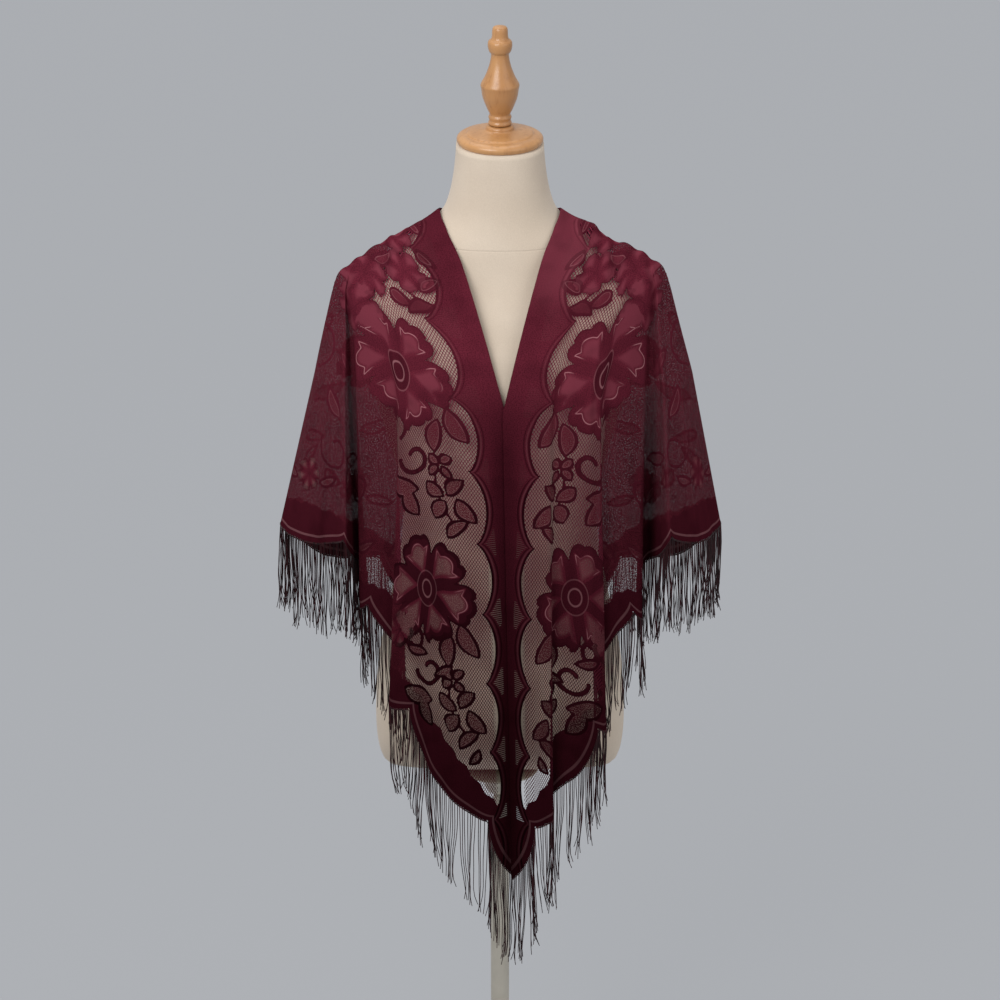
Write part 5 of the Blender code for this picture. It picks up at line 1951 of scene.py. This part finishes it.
POLE_PROFILE = (
    (0.0, POLE_HEAD),
    (POLE_RADIUS, POLE_HEAD),
    (POLE_RADIUS, POLE_FOOT),
    (0.0, POLE_FOOT),
)

# %% Lathe
LATHE_SIDES = 72
AXIS_RADIUS = 0.00001  # of the first and last ring, which close the piece
CORNER_CUT = 0.22  # share of each side of a corner that is cut off
CORNER_CUTS = 2


def rounded_profile(profile):
    """Profile with each inner corner cut back to both sides twice, which rounds it."""
    line = np.array(profile, float)
    for _ in range(CORNER_CUTS):
        a, b = line[:-1], line[1:]
        cut = [a + (b - a) * CORNER_CUT, a + (b - a) * (1 - CORNER_CUT)]
        line = np.concatenate([line[:1], np.stack(cut, axis=1).reshape(-1, 2)[1:-1], line[-1:]])
    return line


def lathe(name, profile, material, cad_node):
    """Profile of radius and height, top to bottom, turned round the Z axis: each point goes
    round as radius times cosine and sine."""
    line = rounded_profile(profile)
    line[[0, -1], 0] = AXIS_RADIUS
    angles = np.arange(LATHE_SIDES) / LATHE_SIDES * 2 * math.pi
    ways = np.stack([np.cos(angles), np.sin(angles)], axis=1)
    level = np.broadcast_to(line[:, None, 1:], (len(line), LATHE_SIDES, 1))
    points = np.concatenate([line[:, None, :1] * ways[None], level], axis=2).reshape(-1, 3)
    faces = grid_quads(len(line), LATHE_SIDES, closed=True)[:, ::-1]
    piece = mesh_piece(name, points, faces, material)
    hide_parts(cad_node)
    print(name, "points", len(points))
    return piece


# %% Wood and painted steel
WOOD_DARK, WOOD_LIGHT = (0.435, 0.205, 0.074), (0.560, 0.292, 0.117)
WOOD_GRAIN = (0.280, 0.112, 0.036)
GRAINS, WIDE_BANDS = 190.0, 32.0  # to the metre
UPRIGHT_GRAIN, UPRIGHT_BANDS = (1.0, 1.0, 0.10), (1.0, 0.35, 0.15)
GRAIN_RELIEF = 0.0004
STEEL_DARK, STEEL_LIGHT = (0.460, 0.428, 0.360), (0.535, 0.500, 0.430)
STEEL_CLOUDS, STEEL_FINE = 24.0, 900.0
STEEL_RELIEF = 0.0002


def wood_material():
    """Pale wood: wide bands and a fine grain, both noises stretched upright, under lacquer."""
    wood = Finish("lacquered pale wood")
    place = wood.place()
    grain = wood.noise(wood.stretched(place, UPRIGHT_GRAIN), GRAINS, 4.0, 0.6)
    wide = wood.noise(wood.stretched(place, UPRIGHT_BANDS), WIDE_BANDS, 3.0)
    colour = wood.blend(wide.rises(0.3, 0.7), WOOD_DARK, WOOD_LIGHT)
    colour = wood.blend(grain.rises(0.50, 0.72) * 0.45, colour, WOOD_GRAIN)
    return wood.set(
        Base_Color=colour,
        Roughness=0.34,
        Coat_Weight=0.25,
        Coat_Roughness=0.2,
        Normal=wood.bump(grain, GRAIN_RELIEF, 0.3),
    )


def metal_material():
    """Cream paint on steel: faint clouds in the colour, and a fine unevenness in the gloss."""
    metal = Finish("cream painted steel")
    place = metal.place()
    cloud = metal.noise(place, STEEL_CLOUDS, 3.0)
    fine = metal.noise(place, STEEL_FINE, 2.0)
    colour = metal.blend(cloud.rises(0.3, 0.7), STEEL_DARK, STEEL_LIGHT)
    return metal.set(
        Base_Color=colour,
        Metallic=0.35,
        Roughness=fine.rises(0.2, 0.8) * 0.12 + 0.32,
        Normal=metal.bump(fine, STEEL_RELIEF, 0.15),
    )


# %% Turned pieces
WOOD, METAL = wood_material(), metal_material()
lathe("turned_finial", FINIAL_PROFILE, WOOD, "finial")
lathe("turned_cap", CAP_PROFILE, WOOD, "neck_cap")
lathe("turned_flange", FLANGE_PROFILE, METAL, "pole_flange")
lathe("turned_base", BASE_PROFILE, METAL, "base")
lathe("tube_pole", POLE_PROFILE, METAL, "pole")

# %% [markdown]
# ## Floor finish and sizes
#
# The floor is matt grey paper with a faint mottle. It is lit from below as well, like a light
# table, so that the near key light makes no bright patch on it.

# %% Floor and sizes
PAPER_TONE = (0.10, 0.10, 0.10, 1.0)
MOTTLE = 1.01  # how much lighter the light places of the mottle are

paper = Finish("backdrop paper")
mottle = paper.noise(paper.place(), 0.8, 2.0)
paper_glow = paper.blend(mottle, FLOOR_GLOW, tuple(c * MOTTLE for c in FLOOR_GLOW))
floor.data.materials.append(
    paper.set(
        Base_Color=PAPER_TONE,
        Emission_Color=paper_glow,
        Emission_Strength=1.0,
        Roughness=0.95,
        Specular_IOR_Level=0.0,
    )
)

low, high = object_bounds()
print("size now", [round(h - l, 4) for l, h in zip(low, high)])
